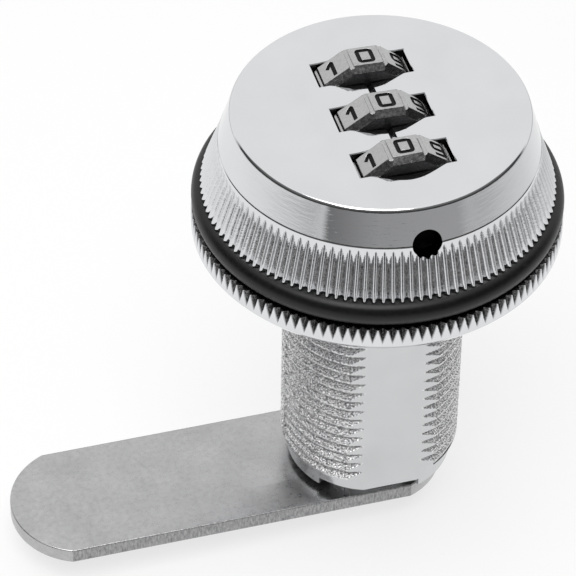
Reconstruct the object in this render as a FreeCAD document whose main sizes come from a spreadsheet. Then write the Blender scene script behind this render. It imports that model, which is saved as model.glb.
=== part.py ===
import FreeCAD
import Part
import math
import os
import Sketcher

# A combination locker lock: a round knob with number wheels, a threaded barrel that goes
# through the door, a ring nut that clamps it, and a flat cam at the far end.
# Millimetres. Z runs along the lock, out through the knob, and z = 0 is the face of the
# door panel that the sealing ring rests on. The wheels turn about an axle along Y, their
# digits are read from the -Y side, and the cam points along -X.

doc = FreeCAD.newDocument("combination_locker_lock")
sheet = doc.addObject("Spreadsheet::Sheet", "sizes")

DIMENSIONS = [
    # knob
    ("knob_bottom", 3.2),
    ("face_above_axle", 4.53),
    ("knob_face_radius", 17.6),
    ("knob_rim_bevel", 0.2),
    ("knob_waist_radius", 19.57),
    ("knob_foot_radius", 20.8),
    ("knob_wall", 1.9),
    ("knob_face_wall", 1.6),
    ("knurl_run_out", 1.55),
    ("knurl_height", 4.55),
    ("knurl_depth", 0.5),
    ("knurl_count", 120),
    ("side_hole_radius", 1.75),
    ("index_groove_width", 0.8),
    ("index_groove_depth", 0.5),
    # number wheels and their windows
    ("wheel_floor_gap", 0.5406),
    ("wheel_pitch", 8.28),
    ("wheel_row_shift", -0.62),
    ("wheel_facets", 10),
    ("wheel_apothem", 6.4),
    ("wheel_half_width", 2.3),
    ("wheel_bevel", 0.75),
    ("wheel_notch_radius", 0.45),
    ("wheel_bore_radius", 3.6),
    ("wheel_1_turn", 2.8),
    ("wheel_2_turn", 2.8),
    ("wheel_3_turn", 0),
    ("window_half_length", 5.7),
    ("window_half_width", 2.0),
    ("window_bulge", 1.8),
    # code hubs and their axle
    ("hub_clearance", 0.06),
    ("hub_disc_radius", 4.4),
    ("hub_disc_thickness", 0.5),
    ("hub_disc_gap", 0.1),
    ("gate_width", 1.6),
    ("gate_depth", 1.5),
    ("gate_angle", 45),
    ("rib_radius", 0.3),
    ("axle_radius", 1.45),
    ("axle_clearance", 0.05),
    ("axle_collar_radius", 2.3),
    ("axle_collar_width", 0.4),
    ("axle_travel", 0.8),
    ("spring_length", 2.4),
    ("spring_wire_radius", 0.18),
    ("spring_turns", 3),
    # carrier and spindle
    ("carrier_inset", 0.7),
    ("carrier_thickness", 1.4),
    ("carrier_slot_length", 9.0),
    ("web_thickness", 0.9),
    ("web_half_width", 3.0),
    ("web_rise", 1.8),
    ("spindle_radius", 6.0),
    ("spindle_clearance", 0.05),
    ("square_size", 7.0),
    ("square_clearance", 0.05),
    ("screw_place_x", 12.9),
    ("screw_place_y", 4.7),
    ("screw_radius", 1.2),
    ("screw_head_radius", 2.3),
    ("screw_length", 6.8),
    ("boss_radius", 2.2),
    ("screw_clearance", 0.05),
    # locking bar, its spring and the detent spring
    ("bar_offset", 8.2),
    ("bar_width", 1.8),
    ("bar_height", 1.8),
    ("bar_half_length", 12.6),
    ("bar_nose_half_length", 2.0),
    ("bar_lift", 1.05),
    ("bar_tooth_width", 0.4),
    ("bar_tooth_reach", 4.0),
    ("bar_clearance", 0.15),
    ("bar_spring_radius", 0.8),
    ("bar_spring_turns", 5),
    ("bar_notch_depth", 1.1),
    ("detent_thickness", 0.4),
    ("detent_half_length", 12.0),
    ("detent_finger_width", 3.0),
    ("detent_clearance", 0.32),
    ("detent_bump_radius", 0.8),
    ("detent_head_gap", 0.4),
    # barrel
    ("thread_radius", 11.0),
    ("thread_pitch", 1.5),
    ("thread_depth", 0.8),
    ("thread_half_width", 0.55),
    ("thread_floor_half_width", 0.09),
    ("thread_grooves", 23),
    ("collar_radius", 10.2),
    ("collar_length", 2.2),
    ("collar_taper", 0.5),
    ("flat_offset", 9.5),
    ("barrel_depth", 38.7),
    ("flange_inset", 1.2),
    ("flange_thickness", 1.6),
    ("lug_depth", 1.0),
    ("lug_inner_radius", 8.4),
    ("left_lug_start", 155),
    ("left_lug_sweep", 62),
    ("right_lug_start", 291),
    ("right_lug_sweep", 94),
    # sealing ring, thrust washer and spindle seal
    ("seal_floor", 0.8),
    ("seal_bore_radius", 11.3),
    ("seal_overhang", 0.3),
    ("seal_flare", 0.2),
    ("seal_bulge", 0.75),
    ("seal_gap", 0.2),
    ("washer_outer_radius", 7.0),
    ("washer_thickness", 0.3),
    ("oring_depth", 3.0),
    ("oring_wire_radius", 0.75),
    ("oring_groove_width", 1.9),
    # ring nut
    ("nut_gap", 0.3),
    ("nut_thickness", 3.3),
    ("nut_overhang", 0.95),
    ("nut_bevel_radial", 0.7),
    ("nut_bevel_axial", 0.9),
    ("nut_knurl_depth", 0.55),
    ("nut_clearance", 0.05),
    # stop disc, cam and the screw that holds them
    ("stop_gap", 0.05),
    ("stop_radius", 7.9),
    ("stop_thickness", 1.85),
    ("stop_tab_radius", 9.9),
    ("stop_tab_thickness", 0.85),
    ("stop_tab_middle", 135),
    ("stop_tab_sweep", 38),
    ("cam_thickness", 2.0),
    ("cam_half_width", 8.5),
    ("cam_rear_radius", 9.05),
    ("cam_tip_radius", 9.2),
    ("cam_tip_centre", 36.5),
    ("cam_edge_round", 0.25),
    ("cam_washer_radius", 7.0),
    ("cam_washer_thickness", 0.8),
    ("lock_washer_radius", 4.6),
    ("lock_washer_thickness", 0.8),
    ("cam_screw_radius", 2.45),
    ("cam_screw_length", 13.0),
    ("cam_screw_head_radius", 5.6),
    ("cam_screw_head_height", 2.0),
    ("cam_screw_head_bevel", 0.5),
    ("cam_screw_socket", 2.0),
]


class Size:
    """A dimension that knows both its spreadsheet expression and its present value."""

    def __init__(self, text, value):
        self.text = text
        self.value = value

    def __add__(self, other):
        return Size("(%s + %s)" % (self.text, text_of(other)), self.value + value_of(other))

    def __radd__(self, other):
        return self + other

    def __sub__(self, other):
        return Size("(%s - %s)" % (self.text, text_of(other)), self.value - value_of(other))

    def __rsub__(self, other):
        return Size("(%s - %s)" % (text_of(other), self.text), value_of(other) - self.value)

    def __mul__(self, other):
        return Size("(%s * %s)" % (self.text, text_of(other)), self.value * value_of(other))

    def __rmul__(self, other):
        return self * other

    def __truediv__(self, other):
        return Size("(%s / %s)" % (self.text, text_of(other)), self.value / value_of(other))

    def __rtruediv__(self, other):
        return Size("(%s / %s)" % (text_of(other), self.text), value_of(other) / self.value)

    def __neg__(self):
        return Size("(0 - %s)" % self.text, -self.value)


def text_of(size):
    """The expression text of a Size or a plain number."""
    return size.text if isinstance(size, Size) else repr(size)


def value_of(size):
    """The number in a Size or a plain number."""
    return size.value if isinstance(size, Size) else size


def root(size):
    """Square root of a Size."""
    return Size("sqrt(%s)" % size.text, math.sqrt(size.value))


def cosine(size):
    """Cosine of an angle in degrees."""
    return Size("cos(%s * 1 deg)" % size.text, math.cos(math.radians(size.value)))


def sine(size):
    """Sine of an angle in degrees."""
    return Size("sin(%s * 1 deg)" % size.text, math.sin(math.radians(size.value)))


def arctangent(size):
    """Angle in degrees whose tangent is given."""
    return Size("(atan(%s) / 1 deg)" % size.text, math.degrees(math.atan(size.value)))


class Dimensions:
    """The spreadsheet's cells by name, each a Size."""

    def __init__(self, rows):
        for row, (alias, value) in enumerate(rows, 1):
            sheet.set("A%d" % row, alias)
            sheet.set("B%d" % row, str(value))
            sheet.setAlias("B%d" % row, alias)
            setattr(self, alias, Size("sizes." + alias, value))


dim = Dimensions(DIMENSIONS)
doc.recompute()


# Helpers for bodies, sketches and primitives

def bind(item, name, size):
    """Tie a property to the spreadsheet."""
    item.setExpression(name, text_of(size))


def move(item, x=0, y=0, z=0):
    """Place an object at spreadsheet coordinates."""
    for axis, size in (("x", x), ("y", y), ("z", z)):
        if isinstance(size, Size) or size:
            bind(item, "Placement.Base." + axis, size)
    return item


def new_body(label):
    body = doc.addObject("PartDesign::Body", label)
    body.Label = label
    return body


def origin_feature(body, role):
    """The body's own origin plane or axis."""
    return [item for item in body.Origin.OriginFeatures if item.Role == role][0]


def new_sketch(body, role, name, height=0, lift=0):
    """A sketch on one of the body's origin planes, raised along its normal or up the plane."""
    sketch = body.newObject("Sketcher::SketchObject", name)
    sketch.AttachmentSupport = (origin_feature(body, role), [""])
    sketch.MapMode = "FlatFace"
    bind(sketch, "AttachmentOffset.Base.z", height)
    bind(sketch, "AttachmentOffset.Base.y", lift)
    return sketch


def fix_point(sketch, line, end, x, y):
    """Dimension one end of a line from the sketch's axes."""
    for kind, size, axis in (("DistanceX", x, -2), ("DistanceY", y, -1)):
        if isinstance(size, Size):
            number = sketch.addConstraint(Sketcher.Constraint(kind, -1, 1, line, end, size.value))
            bind(sketch, "Constraints[%d]" % number, size)
        else:
            sketch.addConstraint(Sketcher.Constraint("PointOnObject", line, end, axis))


def arc_between(start, end, radius, left):
    """Arc of the given radius from start to end, its middle to the left or right of the way."""
    chord = end - start
    middle = (start + end) * 0.5
    side = FreeCAD.Vector(-chord.y, chord.x, 0).normalize() * (1 if left else -1)
    rise = radius - math.sqrt(radius ** 2 - (chord.Length / 2) ** 2)
    return Part.Arc(start, middle + side * rise, end)


def outline(sketch, corners, arcs=None):
    """Closed outline through the corners.

    arcs maps the number of a side's first corner to (radius, bulges to the left).
    """
    arcs = arcs or {}
    points = [FreeCAD.Vector(value_of(x), value_of(y), 0) for x, y in corners]
    ends = []
    for side, start in enumerate(points):
        end = points[(side + 1) % len(points)]
        if side in arcs:
            radius, left = arcs[side]
            line = sketch.addGeometry(arc_between(start, end, value_of(radius), left))
            # a sketch keeps every arc anticlockwise, so one that bulges left runs backwards
            ends.append((line, 2, 1) if left else (line, 1, 2))
            number = sketch.addConstraint(Sketcher.Constraint("Radius", line, value_of(radius)))
            bind(sketch, "Constraints[%d]" % number, radius)
        else:
            ends.append((sketch.addGeometry(Part.LineSegment(start, end)), 1, 2))
    for side, (line, first, last) in enumerate(ends):
        following, follow_first, follow_last = ends[(side + 1) % len(ends)]
        sketch.addConstraint(Sketcher.Constraint("Coincident", line, last, following, follow_first))
        fix_point(sketch, line, first, *corners[side])


def circle(sketch, x, y, radius):
    """A circle with its centre and radius dimensioned."""
    centre = FreeCAD.Vector(value_of(x), value_of(y), 0)
    normal = FreeCAD.Vector(0, 0, 1)
    ring = sketch.addGeometry(Part.Circle(centre, normal, value_of(radius)))
    number = sketch.addConstraint(Sketcher.Constraint("Radius", ring, value_of(radius)))
    bind(sketch, "Constraints[%d]" % number, radius)
    if isinstance(x, Size) or isinstance(y, Size):
        fix_point(sketch, ring, 3, x, y)
    else:
        sketch.addConstraint(Sketcher.Constraint("Coincident", ring, 3, -1, 1))


def rectangle(sketch, x_low, x_high, y_low, y_high):
    outline(sketch, [(x_low, y_low), (x_high, y_low), (x_high, y_high), (x_low, y_high)])


def extrude(body, kind, sketch, length, name, backwards=False, symmetric=False):
    """A Pad or Pocket of the sketch."""
    feature = body.newObject("PartDesign::" + kind, name)
    feature.Profile = sketch
    feature.Type = "Length"
    bind(feature, "Length", length)
    feature.SideType = "Symmetric" if symmetric else "One side"
    feature.Reversed = backwards
    return feature


def turn(body, kind, sketch, name, axis="V_Axis"):
    """A Revolution or Groove of the sketch about one of its axes."""
    feature = body.newObject("PartDesign::" + kind, name)
    feature.Profile = sketch
    feature.ReferenceAxis = (sketch, [axis])
    feature.Angle = 360
    return feature


def repeat_round(body, original, count, name, role="Z_Axis"):
    """A polar pattern of one feature about an axis of the body."""
    doc.recompute()
    pattern = body.newObject("PartDesign::PolarPattern", name)
    pattern.Originals = [original]
    pattern.Axis = (origin_feature(body, role), [""])
    pattern.Angle = 360
    bind(pattern, "Occurrences", count)
    body.Tip = pattern
    return pattern


def cylinder(name, radius, length, x=0, y=0, z=0, along="Z"):
    item = doc.addObject("Part::Cylinder", name)
    bind(item, "Radius", radius)
    bind(item, "Height", length)
    if along == "Y":
        item.Placement.Rotation = FreeCAD.Rotation(FreeCAD.Vector(1, 0, 0), -90)
    return move(item, x, y, z)


def cone(name, low_radius, high_radius, length, x=0, y=0, z=0):
    item = doc.addObject("Part::Cone", name)
    bind(item, "Radius1", low_radius)
    bind(item, "Radius2", high_radius)
    bind(item, "Height", length)
    return move(item, x, y, z)


def block(name, x_low, x_high, y_low, y_high, z_low, z_high):
    item = doc.addObject("Part::Box", name)
    bind(item, "Length", x_high - x_low)
    bind(item, "Width", y_high - y_low)
    bind(item, "Height", z_high - z_low)
    return move(item, x_low, y_low, z_low)


def fuse(name, items):
    item = doc.addObject("Part::MultiFuse", name)
    item.Shapes = items
    return item


def cut(name, base, tool):
    item = doc.addObject("Part::Cut", name)
    item.Base = base
    item.Tool = tool
    return item


def group(name, items):
    item = doc.addObject("Part::Compound", name)
    item.Links = items
    return item


def named(item, label):
    """Give a finished piece the label that names its file."""
    item.Label = label
    return item


# Heights and places that several pieces share

flange_top = dim.seal_floor + dim.flange_thickness
wheel_corner_radius = dim.wheel_apothem / cosine(180 / dim.wheel_facets)
axle_height = flange_top + dim.wheel_floor_gap + wheel_corner_radius
knob_top = axle_height + dim.face_above_axle
knob_ceiling = knob_top - dim.knob_face_wall
waist_height = dim.knob_bottom + dim.knurl_height
knurl_tip_height = waist_height + dim.knurl_run_out
cone_slope = (dim.knob_waist_radius - dim.knob_face_radius) / (knob_top - waist_height)
knurl_tip_radius = dim.knob_face_radius + cone_slope * (knob_top - knurl_tip_height)
cavity_foot_radius = dim.knob_foot_radius - dim.knob_wall
cavity_top_radius = dim.knob_face_radius - dim.knob_wall + 0.5
carrier_radius = cavity_foot_radius - dim.carrier_inset
flange_radius = dim.knob_foot_radius - dim.flange_inset
seal_foot_radius = dim.knob_foot_radius + dim.seal_overhang
seal_lip_radius = seal_foot_radius + dim.seal_flare
seal_top = dim.knob_bottom - dim.seal_gap
nut_radius = seal_foot_radius + dim.nut_overhang
carrier_bottom = flange_top + dim.washer_thickness
carrier_top = carrier_bottom + dim.carrier_thickness
window_radius = root(dim.face_above_axle * dim.face_above_axle
                     + dim.window_half_length * dim.window_half_length)
wheel_places = [dim.wheel_row_shift + dim.wheel_pitch * (1 - row) for row in range(3)]
hub_disc_start = dim.wheel_half_width + dim.hub_disc_gap
hub_disc_end = hub_disc_start + dim.hub_disc_thickness
hub_radius = dim.wheel_bore_radius - dim.hub_clearance
hub_bore_radius = dim.axle_radius + dim.axle_clearance
last_collar_end = wheel_places[0] + hub_disc_end + 0.05 + dim.axle_collar_width
end_web_start = last_collar_end + dim.spring_length + 0.1
detent_top = knob_ceiling - dim.detent_head_gap
bar_bottom = carrier_top + dim.bar_lift
bar_top = bar_bottom + dim.bar_height
bar_inner = dim.bar_offset - dim.bar_width / 2
bar_outer = dim.bar_offset + dim.bar_width / 2
barrel_bottom = -dim.barrel_depth
spindle_bore_radius = dim.spindle_radius + dim.spindle_clearance
stop_top = barrel_bottom - dim.stop_gap
cam_top = stop_top - dim.stop_thickness
cam_bottom = cam_top - dim.cam_thickness
square_half = dim.square_size / 2
square_hole_half = square_half + dim.square_clearance
square_bottom = cam_bottom + 0.2
nut_top = -dim.nut_gap
nut_bottom = nut_top - dim.nut_thickness


# Knob: a die-cast cup, with the wheel pockets cut as grooves around the axle, so that each
# window is a rectangle whose long sides bulge where the pocket's bevelled walls leave the face

def make_knob_shell():
    body = new_body("knob_shell")
    section = new_sketch(body, "XZ_Plane", "knob_section")
    outline(section, [
        (cavity_foot_radius, dim.knob_bottom),
        (dim.knob_foot_radius, dim.knob_bottom),
        (dim.knob_waist_radius, waist_height),
        (dim.knob_face_radius, knob_top - dim.knob_rim_bevel),
        (dim.knob_face_radius - dim.knob_rim_bevel, knob_top),
        (0, knob_top),
        (0, knob_ceiling),
        (cavity_top_radius, knob_ceiling),
    ])
    turn(body, "Revolution", section, "knob_cup")
    knurl_knob(body)
    add_screw_bosses(body)
    cut_windows(body)
    cut_side_hole(body)
    return body


def knurl_knob(body):
    """V grooves that run out on the plain cone above them."""
    heights = [knurl_tip_height, waist_height, dim.knob_bottom]
    floors = [
        knurl_tip_radius,
        dim.knob_waist_radius - dim.knurl_depth,
        dim.knob_foot_radius - dim.knurl_depth,
    ]
    opening = dim.knurl_depth * 1.02
    sections = []
    for number, (height, floor) in enumerate(zip(heights, floors)):
        sketch = new_sketch(body, "XY_Plane", "knurl_section_%d" % number, height)
        outline(sketch, [(floor, 0), (floor + opening, -opening), (floor + opening, opening)])
        sections.append(sketch)
    groove = body.newObject("PartDesign::SubtractiveLoft", "knurl_groove")
    groove.Profile = sections[0]
    groove.Sections = sections[1:]
    groove.Ruled = True
    repeat_round(body, groove, dim.knurl_count, "knurl")


def add_screw_bosses(body):
    sketch = new_sketch(body, "XY_Plane", "boss_places", carrier_top)
    for x, y in screw_places():
        circle(sketch, x, y, dim.boss_radius)
    extrude(body, "Pad", sketch, knob_ceiling - carrier_top + dim.knob_face_wall / 2, "bosses")
    sketch = new_sketch(body, "XY_Plane", "boss_hole_places", carrier_top)
    for x, y in screw_places():
        circle(sketch, x, y, dim.screw_radius + dim.screw_clearance)
    extrude(body, "Pocket", sketch, dim.screw_length, "boss_holes", backwards=True)


def screw_places():
    return [(x, y) for x in (dim.screw_place_x, -dim.screw_place_x)
            for y in (dim.screw_place_y, -dim.screw_place_y)]


def cut_windows(body):
    """One bevel-sided groove around the axle for each wheel, and the index groove."""
    sketch = new_sketch(body, "YZ_Plane", "window_sections", 0, axle_height)
    face_depth = dim.face_above_axle
    inner_radius = face_depth - dim.knob_face_wall * 1.5
    half_inner = dim.window_half_width + dim.window_bulge
    for place in wheel_places:
        outline(sketch, [
            (place - dim.window_half_width, window_radius),
            (place - half_inner, face_depth),
            (place - half_inner, inner_radius),
            (place + half_inner, inner_radius),
            (place + half_inner, face_depth),
            (place + dim.window_half_width, window_radius),
        ])
    turn(body, "Groove", sketch, "windows", "H_Axis")
    sketch = new_sketch(body, "XZ_Plane", "index_section", -wheel_places[2])
    half = dim.index_groove_width / 2
    outline(sketch, [(-half, knob_top), (0, knob_top - dim.index_groove_depth), (half, knob_top)])
    extrude(body, "Pocket", sketch, dim.wheel_pitch * 2, "index_groove")


def cut_side_hole(body):
    """Bevelled hole in line with the axle, for the pin that sets a new code."""
    sketch = new_sketch(body, "XZ_Plane", "side_hole_place", 0, 0)
    circle(sketch, 0, axle_height, dim.side_hole_radius)
    extrude(body, "Pocket", sketch, dim.knob_foot_radius + 1, "side_hole", backwards=True)


# Number wheels: ten bevelled facets with a rounded notch on each corner

def make_number_wheel(number, place, angle):
    body = new_body("number_wheel_%d" % number)
    body.Placement.Rotation = FreeCAD.Rotation(FreeCAD.Vector(0, 1, 0), angle.value)
    bind(body, "Placement.Rotation.Angle", Size(angle.text + " * 1 deg", 0))
    move(body, 0, place, axle_height)
    sketch = new_sketch(body, "XZ_Plane", "facets_%d" % number)
    half_step = 180 / dim.wheel_facets
    corners = []
    for facet in range(int(dim.wheel_facets.value)):
        angle = half_step * (2 * facet + 1)
        corners.append((wheel_corner_radius * sine(angle), wheel_corner_radius * cosine(angle)))
    outline(sketch, corners)
    pad = extrude(body, "Pad", sketch, dim.wheel_half_width * 2, "wheel_%d" % number,
                  symmetric=True)
    doc.recompute()
    bevel = body.newObject("PartDesign::Chamfer", "bevel_%d" % number)
    edges = ["Edge%d" % (index + 1) for index, edge in enumerate(pad.Shape.Edges)
             if abs(edge.tangentAt(edge.FirstParameter).y) < 0.5]
    bevel.Base = (pad, edges)
    bind(bevel, "Size", dim.wheel_bevel)
    sketch = new_sketch(body, "XZ_Plane", "bore_%d" % number)
    circle(sketch, 0, 0, dim.wheel_bore_radius)
    extrude(body, "Pocket", sketch, dim.wheel_half_width * 3, "bore_cut_%d" % number,
            symmetric=True)
    sketch = new_sketch(body, "XZ_Plane", "drive_slot_%d" % number)
    circle(sketch, 0, dim.wheel_bore_radius, dim.rib_radius + dim.hub_clearance)
    slot = extrude(body, "Pocket", sketch, dim.wheel_half_width * 3, "slot_cut_%d" % number,
                   symmetric=True)
    repeat_round(body, slot, dim.wheel_facets, "slots_%d" % number, "Y_Axis")
    sketch = new_sketch(body, "XZ_Plane", "notch_%d" % number)
    circle(sketch, wheel_corner_radius * sine(half_step), wheel_corner_radius * cosine(half_step),
           dim.wheel_notch_radius)
    notch = extrude(body, "Pocket", sketch, dim.wheel_half_width * 3, "notch_cut_%d" % number,
                    symmetric=True)
    repeat_round(body, notch, dim.wheel_facets, "notches_%d" % number, "Y_Axis")
    return body


# Code hubs: a sleeve that fills the wheel's bore, a rib that drives it and a gated disc

def make_code_hub(number, place, angle):
    sleeve_start = place - dim.wheel_half_width + 0.7
    disc_start = place + hub_disc_start
    name = "hub_%d_" % number
    sleeve = cylinder(name + "sleeve", hub_radius, disc_start - sleeve_start,
                      0, sleeve_start, axle_height, "Y")
    rib = cylinder(name + "rib", dim.rib_radius, disc_start - sleeve_start,
                   dim.wheel_bore_radius * sine(angle), sleeve_start,
                   axle_height + dim.wheel_bore_radius * cosine(angle), "Y")
    disc = cylinder(name + "disc", dim.hub_disc_radius, dim.hub_disc_thickness,
                    0, disc_start, axle_height, "Y")
    bore = cylinder(name + "bore", hub_bore_radius, dim.wheel_half_width * 4,
                    0, place - dim.wheel_half_width * 2, axle_height, "Y")
    gate = doc.addObject("Part::Box", name + "gate")
    bind(gate, "Length", dim.gate_depth * 2)
    bind(gate, "Width", dim.hub_disc_thickness)
    bind(gate, "Height", dim.gate_width)
    gate.Placement.Rotation = FreeCAD.Rotation(FreeCAD.Vector(0, 1, 0), dim.gate_angle.value)
    bind(gate, "Placement.Rotation.Angle", Size(dim.gate_angle.text + " * 1 deg", 0))
    gate_floor = dim.hub_disc_radius - dim.gate_depth
    half = dim.gate_width / 2
    move(gate, gate_floor * cosine(dim.gate_angle) - half * sine(dim.gate_angle), disc_start,
         axle_height - gate_floor * sine(dim.gate_angle) - half * cosine(dim.gate_angle))
    solid = fuse(name + "solid", [sleeve, rib, disc])
    bored = cut(name + "bored", solid, bore)
    return named(cut(name + "gated", bored, gate), "code_hub_%d" % number)


def make_wheel_axle():
    """Axle with a collar on each side of every hub, so that pushing it moves all the hubs."""
    start = wheel_places[2] - dim.wheel_half_width - dim.axle_travel - dim.web_thickness * 2.6
    pieces = [cylinder("axle_rod", dim.axle_radius, end_web_start + dim.web_thickness - start,
                       0, start, axle_height, "Y")]
    for number, place in enumerate(wheel_places):
        low = place - dim.wheel_half_width + 0.65 - dim.axle_collar_width
        high = place + hub_disc_end + 0.05
        pieces.append(cylinder("axle_collar_%d" % number, dim.axle_collar_radius,
                               dim.axle_collar_width, 0, low, axle_height, "Y"))
        pieces.append(cylinder("axle_shoulder_%d" % number, dim.axle_collar_radius,
                               dim.axle_collar_width, 0, high, axle_height, "Y"))
    return named(fuse("axle_pieces", pieces), "wheel_axle")


def half_ring(name, radius, wire, x, z, height):
    """Half a torus about the vertical axis, on the +Y side."""
    ring = doc.addObject("Part::Torus", name)
    bind(ring, "Radius1", radius)
    bind(ring, "Radius2", wire)
    ring.Angle3 = 180
    return move(ring, x, 0, z + height)


def make_coil(name, label, radius, wire, length, turns, x, y, z, along="Z"):
    """Coil whose turns are each a half ring that climbs one pitch and a level half ring."""
    count = int(turns.value)
    pitch = (length - wire * 2) / count
    climb = arctangent(pitch / (radius * 2))
    halves = []
    for number in range(count + 1):
        level = half_ring("%s_level_%d" % (name, number), radius, wire, 0, wire, pitch * number)
        level.Placement.Rotation = FreeCAD.Rotation(FreeCAD.Vector(0, 0, 1), 180)
        halves.append(level)
    for number in range(count):
        rising = half_ring("%s_rising_%d" % (name, number), radius / cosine(climb), wire,
                           0, wire, pitch * (number + 0.5))
        rising.Placement.Rotation = FreeCAD.Rotation(FreeCAD.Vector(0, 1, 0), climb.value)
        bind(rising, "Placement.Rotation.Angle", Size(climb.text + " * 1 deg", 0))
        halves.append(rising)
    coil = fuse(name, halves)
    if along == "Y":
        coil.Placement.Rotation = FreeCAD.Rotation(FreeCAD.Vector(1, 0, 0), -90)
    move(coil, x, y, z)
    return named(coil, label)


# Carrier: the plate under the wheels, the webs that hold the axle, and the spindle

def make_wheel_carrier():
    plate = cylinder("carrier_plate", carrier_radius, dim.carrier_thickness, 0, 0, carrier_bottom)
    spindle = cylinder("carrier_spindle", dim.spindle_radius, carrier_bottom - stop_top, 0, 0, stop_top)
    square = block("carrier_square", -square_half, square_half, -square_half, square_half,
                   square_bottom, stop_top + 1)
    slots = []
    half = dim.carrier_slot_length / 2
    for number, place in enumerate(wheel_places):
        slots.append(block("carrier_slot_%d" % number, -half, half,
                           place - dim.wheel_half_width - 0.3, place + dim.wheel_half_width + 0.3,
                           carrier_bottom, carrier_top + 0.1))
    nose_slot = block("carrier_nose_slot", bar_inner - dim.bar_clearance,
                      bar_outer + dim.bar_clearance,
                      -dim.bar_nose_half_length - dim.bar_clearance,
                      dim.bar_nose_half_length + dim.bar_clearance,
                      carrier_bottom - 0.1, carrier_top + 0.1)
    leaf_slot = block("carrier_leaf_slot", detent_outer() - 0.02, detent_inner() + 0.02,
                      -dim.detent_half_length - 0.05, dim.detent_half_length + 0.05,
                      carrier_bottom + 0.5, carrier_top + 0.1)
    slotted = cut("carrier_slotted", plate, fuse("carrier_slots", slots + [nose_slot, leaf_slot]))
    webs = [block("web_%d" % number, -dim.web_half_width, dim.web_half_width,
                  start, start + dim.web_thickness,
                  carrier_bottom + 0.5, axle_height + dim.web_rise)
            for number, start in enumerate(web_starts())]
    drills = [cylinder("carrier_axle_bore", hub_bore_radius, carrier_radius * 2,
                       0, -carrier_radius, axle_height, "Y"),
              cylinder("carrier_screw_bore", dim.cam_screw_radius + dim.screw_clearance,
                       dim.cam_screw_length, 0, 0, square_bottom - 1)]
    for number, (x, y) in enumerate(screw_places()):
        drills.append(cylinder("carrier_hole_%d" % number, dim.screw_radius + dim.screw_clearance,
                               dim.carrier_thickness * 3, x, y, carrier_bottom - dim.carrier_thickness))
        drills.append(cone("carrier_countersink_%d" % number,
                           dim.screw_head_radius + dim.screw_clearance,
                           dim.screw_radius + dim.screw_clearance,
                           dim.screw_head_radius - dim.screw_radius, x, y, carrier_bottom))
    groove_top = carrier_bottom - dim.oring_depth
    ring = cut("carrier_groove_ring",
               cylinder("carrier_groove_outer", dim.spindle_radius + 1, dim.oring_groove_width,
                        0, 0, groove_top - dim.oring_groove_width),
               cylinder("carrier_groove_inner", oring_groove_radius(), dim.oring_groove_width * 2,
                        0, 0, groove_top - dim.oring_groove_width * 1.5))
    solid = fuse("carrier_solid", [slotted, spindle, square] + webs)
    return named(cut("carrier_cut", solid, fuse("carrier_drills", drills + [ring])), "wheel_carrier")


def web_starts():
    """The near face of each web: one before the row, one in each gap, one past the spring."""
    near = wheel_places[2] - dim.wheel_half_width - 0.3 - dim.web_thickness
    stroke = hub_disc_end + dim.axle_collar_width + dim.axle_travel + 0.15
    between = [place + stroke for place in wheel_places[1:]]
    return [near] + between + [end_web_start]


def oring_groove_radius():
    return spindle_bore_radius - dim.oring_wire_radius * 2 - 0.05


def make_carrier_screws():
    """Countersunk screws that hold the carrier in the knob."""
    screws = []
    for number, (x, y) in enumerate(screw_places()):
        head = cone("screw_head_%d" % number, dim.screw_head_radius, dim.screw_radius,
                    dim.screw_head_radius - dim.screw_radius, x, y, carrier_bottom)
        shank = cylinder("screw_shank_%d" % number, dim.screw_radius,
                         carrier_top - carrier_bottom + dim.screw_length - 0.3,
                         x, y, carrier_bottom)
        screws.append(fuse("screw_%d" % number, [head, shank]))
    return named(group("screw_group", screws), "carrier_screws")


# Locking bar: lies beside the wheels, with a tooth under each code disc and a nose that
# drops into the notch in the barrel's flange. It is drawn lifted clear of the notch.

def make_locking_bar():
    rod = block("bar_rod", bar_inner, bar_outer, -dim.bar_half_length, dim.bar_half_length,
                bar_bottom, bar_top)
    nose = block("bar_nose", bar_inner, bar_outer, -dim.bar_nose_half_length,
                 dim.bar_nose_half_length, flange_top + 0.1, bar_bottom + 0.1)
    teeth = []
    for number, place in enumerate(wheel_places):
        middle = place + hub_disc_start + dim.hub_disc_thickness / 2
        teeth.append(block("bar_tooth_%d" % number, bar_inner - dim.bar_tooth_reach, bar_inner + 0.1,
                           middle - dim.bar_tooth_width / 2, middle + dim.bar_tooth_width / 2,
                           bar_bottom, bar_top - 0.4))
    return named(fuse("bar_pieces", [rod, nose] + teeth), "locking_bar")


def detent_inner():
    return -(wheel_corner_radius + dim.detent_clearance + dim.detent_bump_radius)


def detent_outer():
    return detent_inner() - dim.detent_thickness


def make_detent_spring():
    """Leaf spring with one rounded finger beside each wheel."""
    strip = block("leaf_strip", detent_outer(), detent_inner(), -dim.detent_half_length,
                  dim.detent_half_length, carrier_bottom + 0.52, carrier_top + 1.2)
    pieces = [strip]
    for number, place in enumerate(wheel_places):
        low = place - dim.detent_finger_width / 2
        high = place + dim.detent_finger_width / 2
        pieces.append(block("leaf_finger_%d" % number, detent_outer(), detent_inner(),
                            low, high, carrier_top + 1, detent_top))
        pieces.append(cylinder("leaf_bump_%d" % number, dim.detent_bump_radius,
                               dim.detent_finger_width, detent_inner(), low, axle_height, "Y"))
    beyond = dim.detent_bump_radius * 2
    outside = block("leaf_outside", detent_outer() - beyond, detent_outer(),
                    -dim.detent_half_length - beyond, dim.detent_half_length + beyond,
                    carrier_bottom, detent_top + beyond)
    return named(cut("leaf_cut", fuse("leaf_pieces", pieces), outside), "detent_spring")


# Barrel: flange, threaded shank with two flats, a plain collar at the end, and the stop lugs

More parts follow.
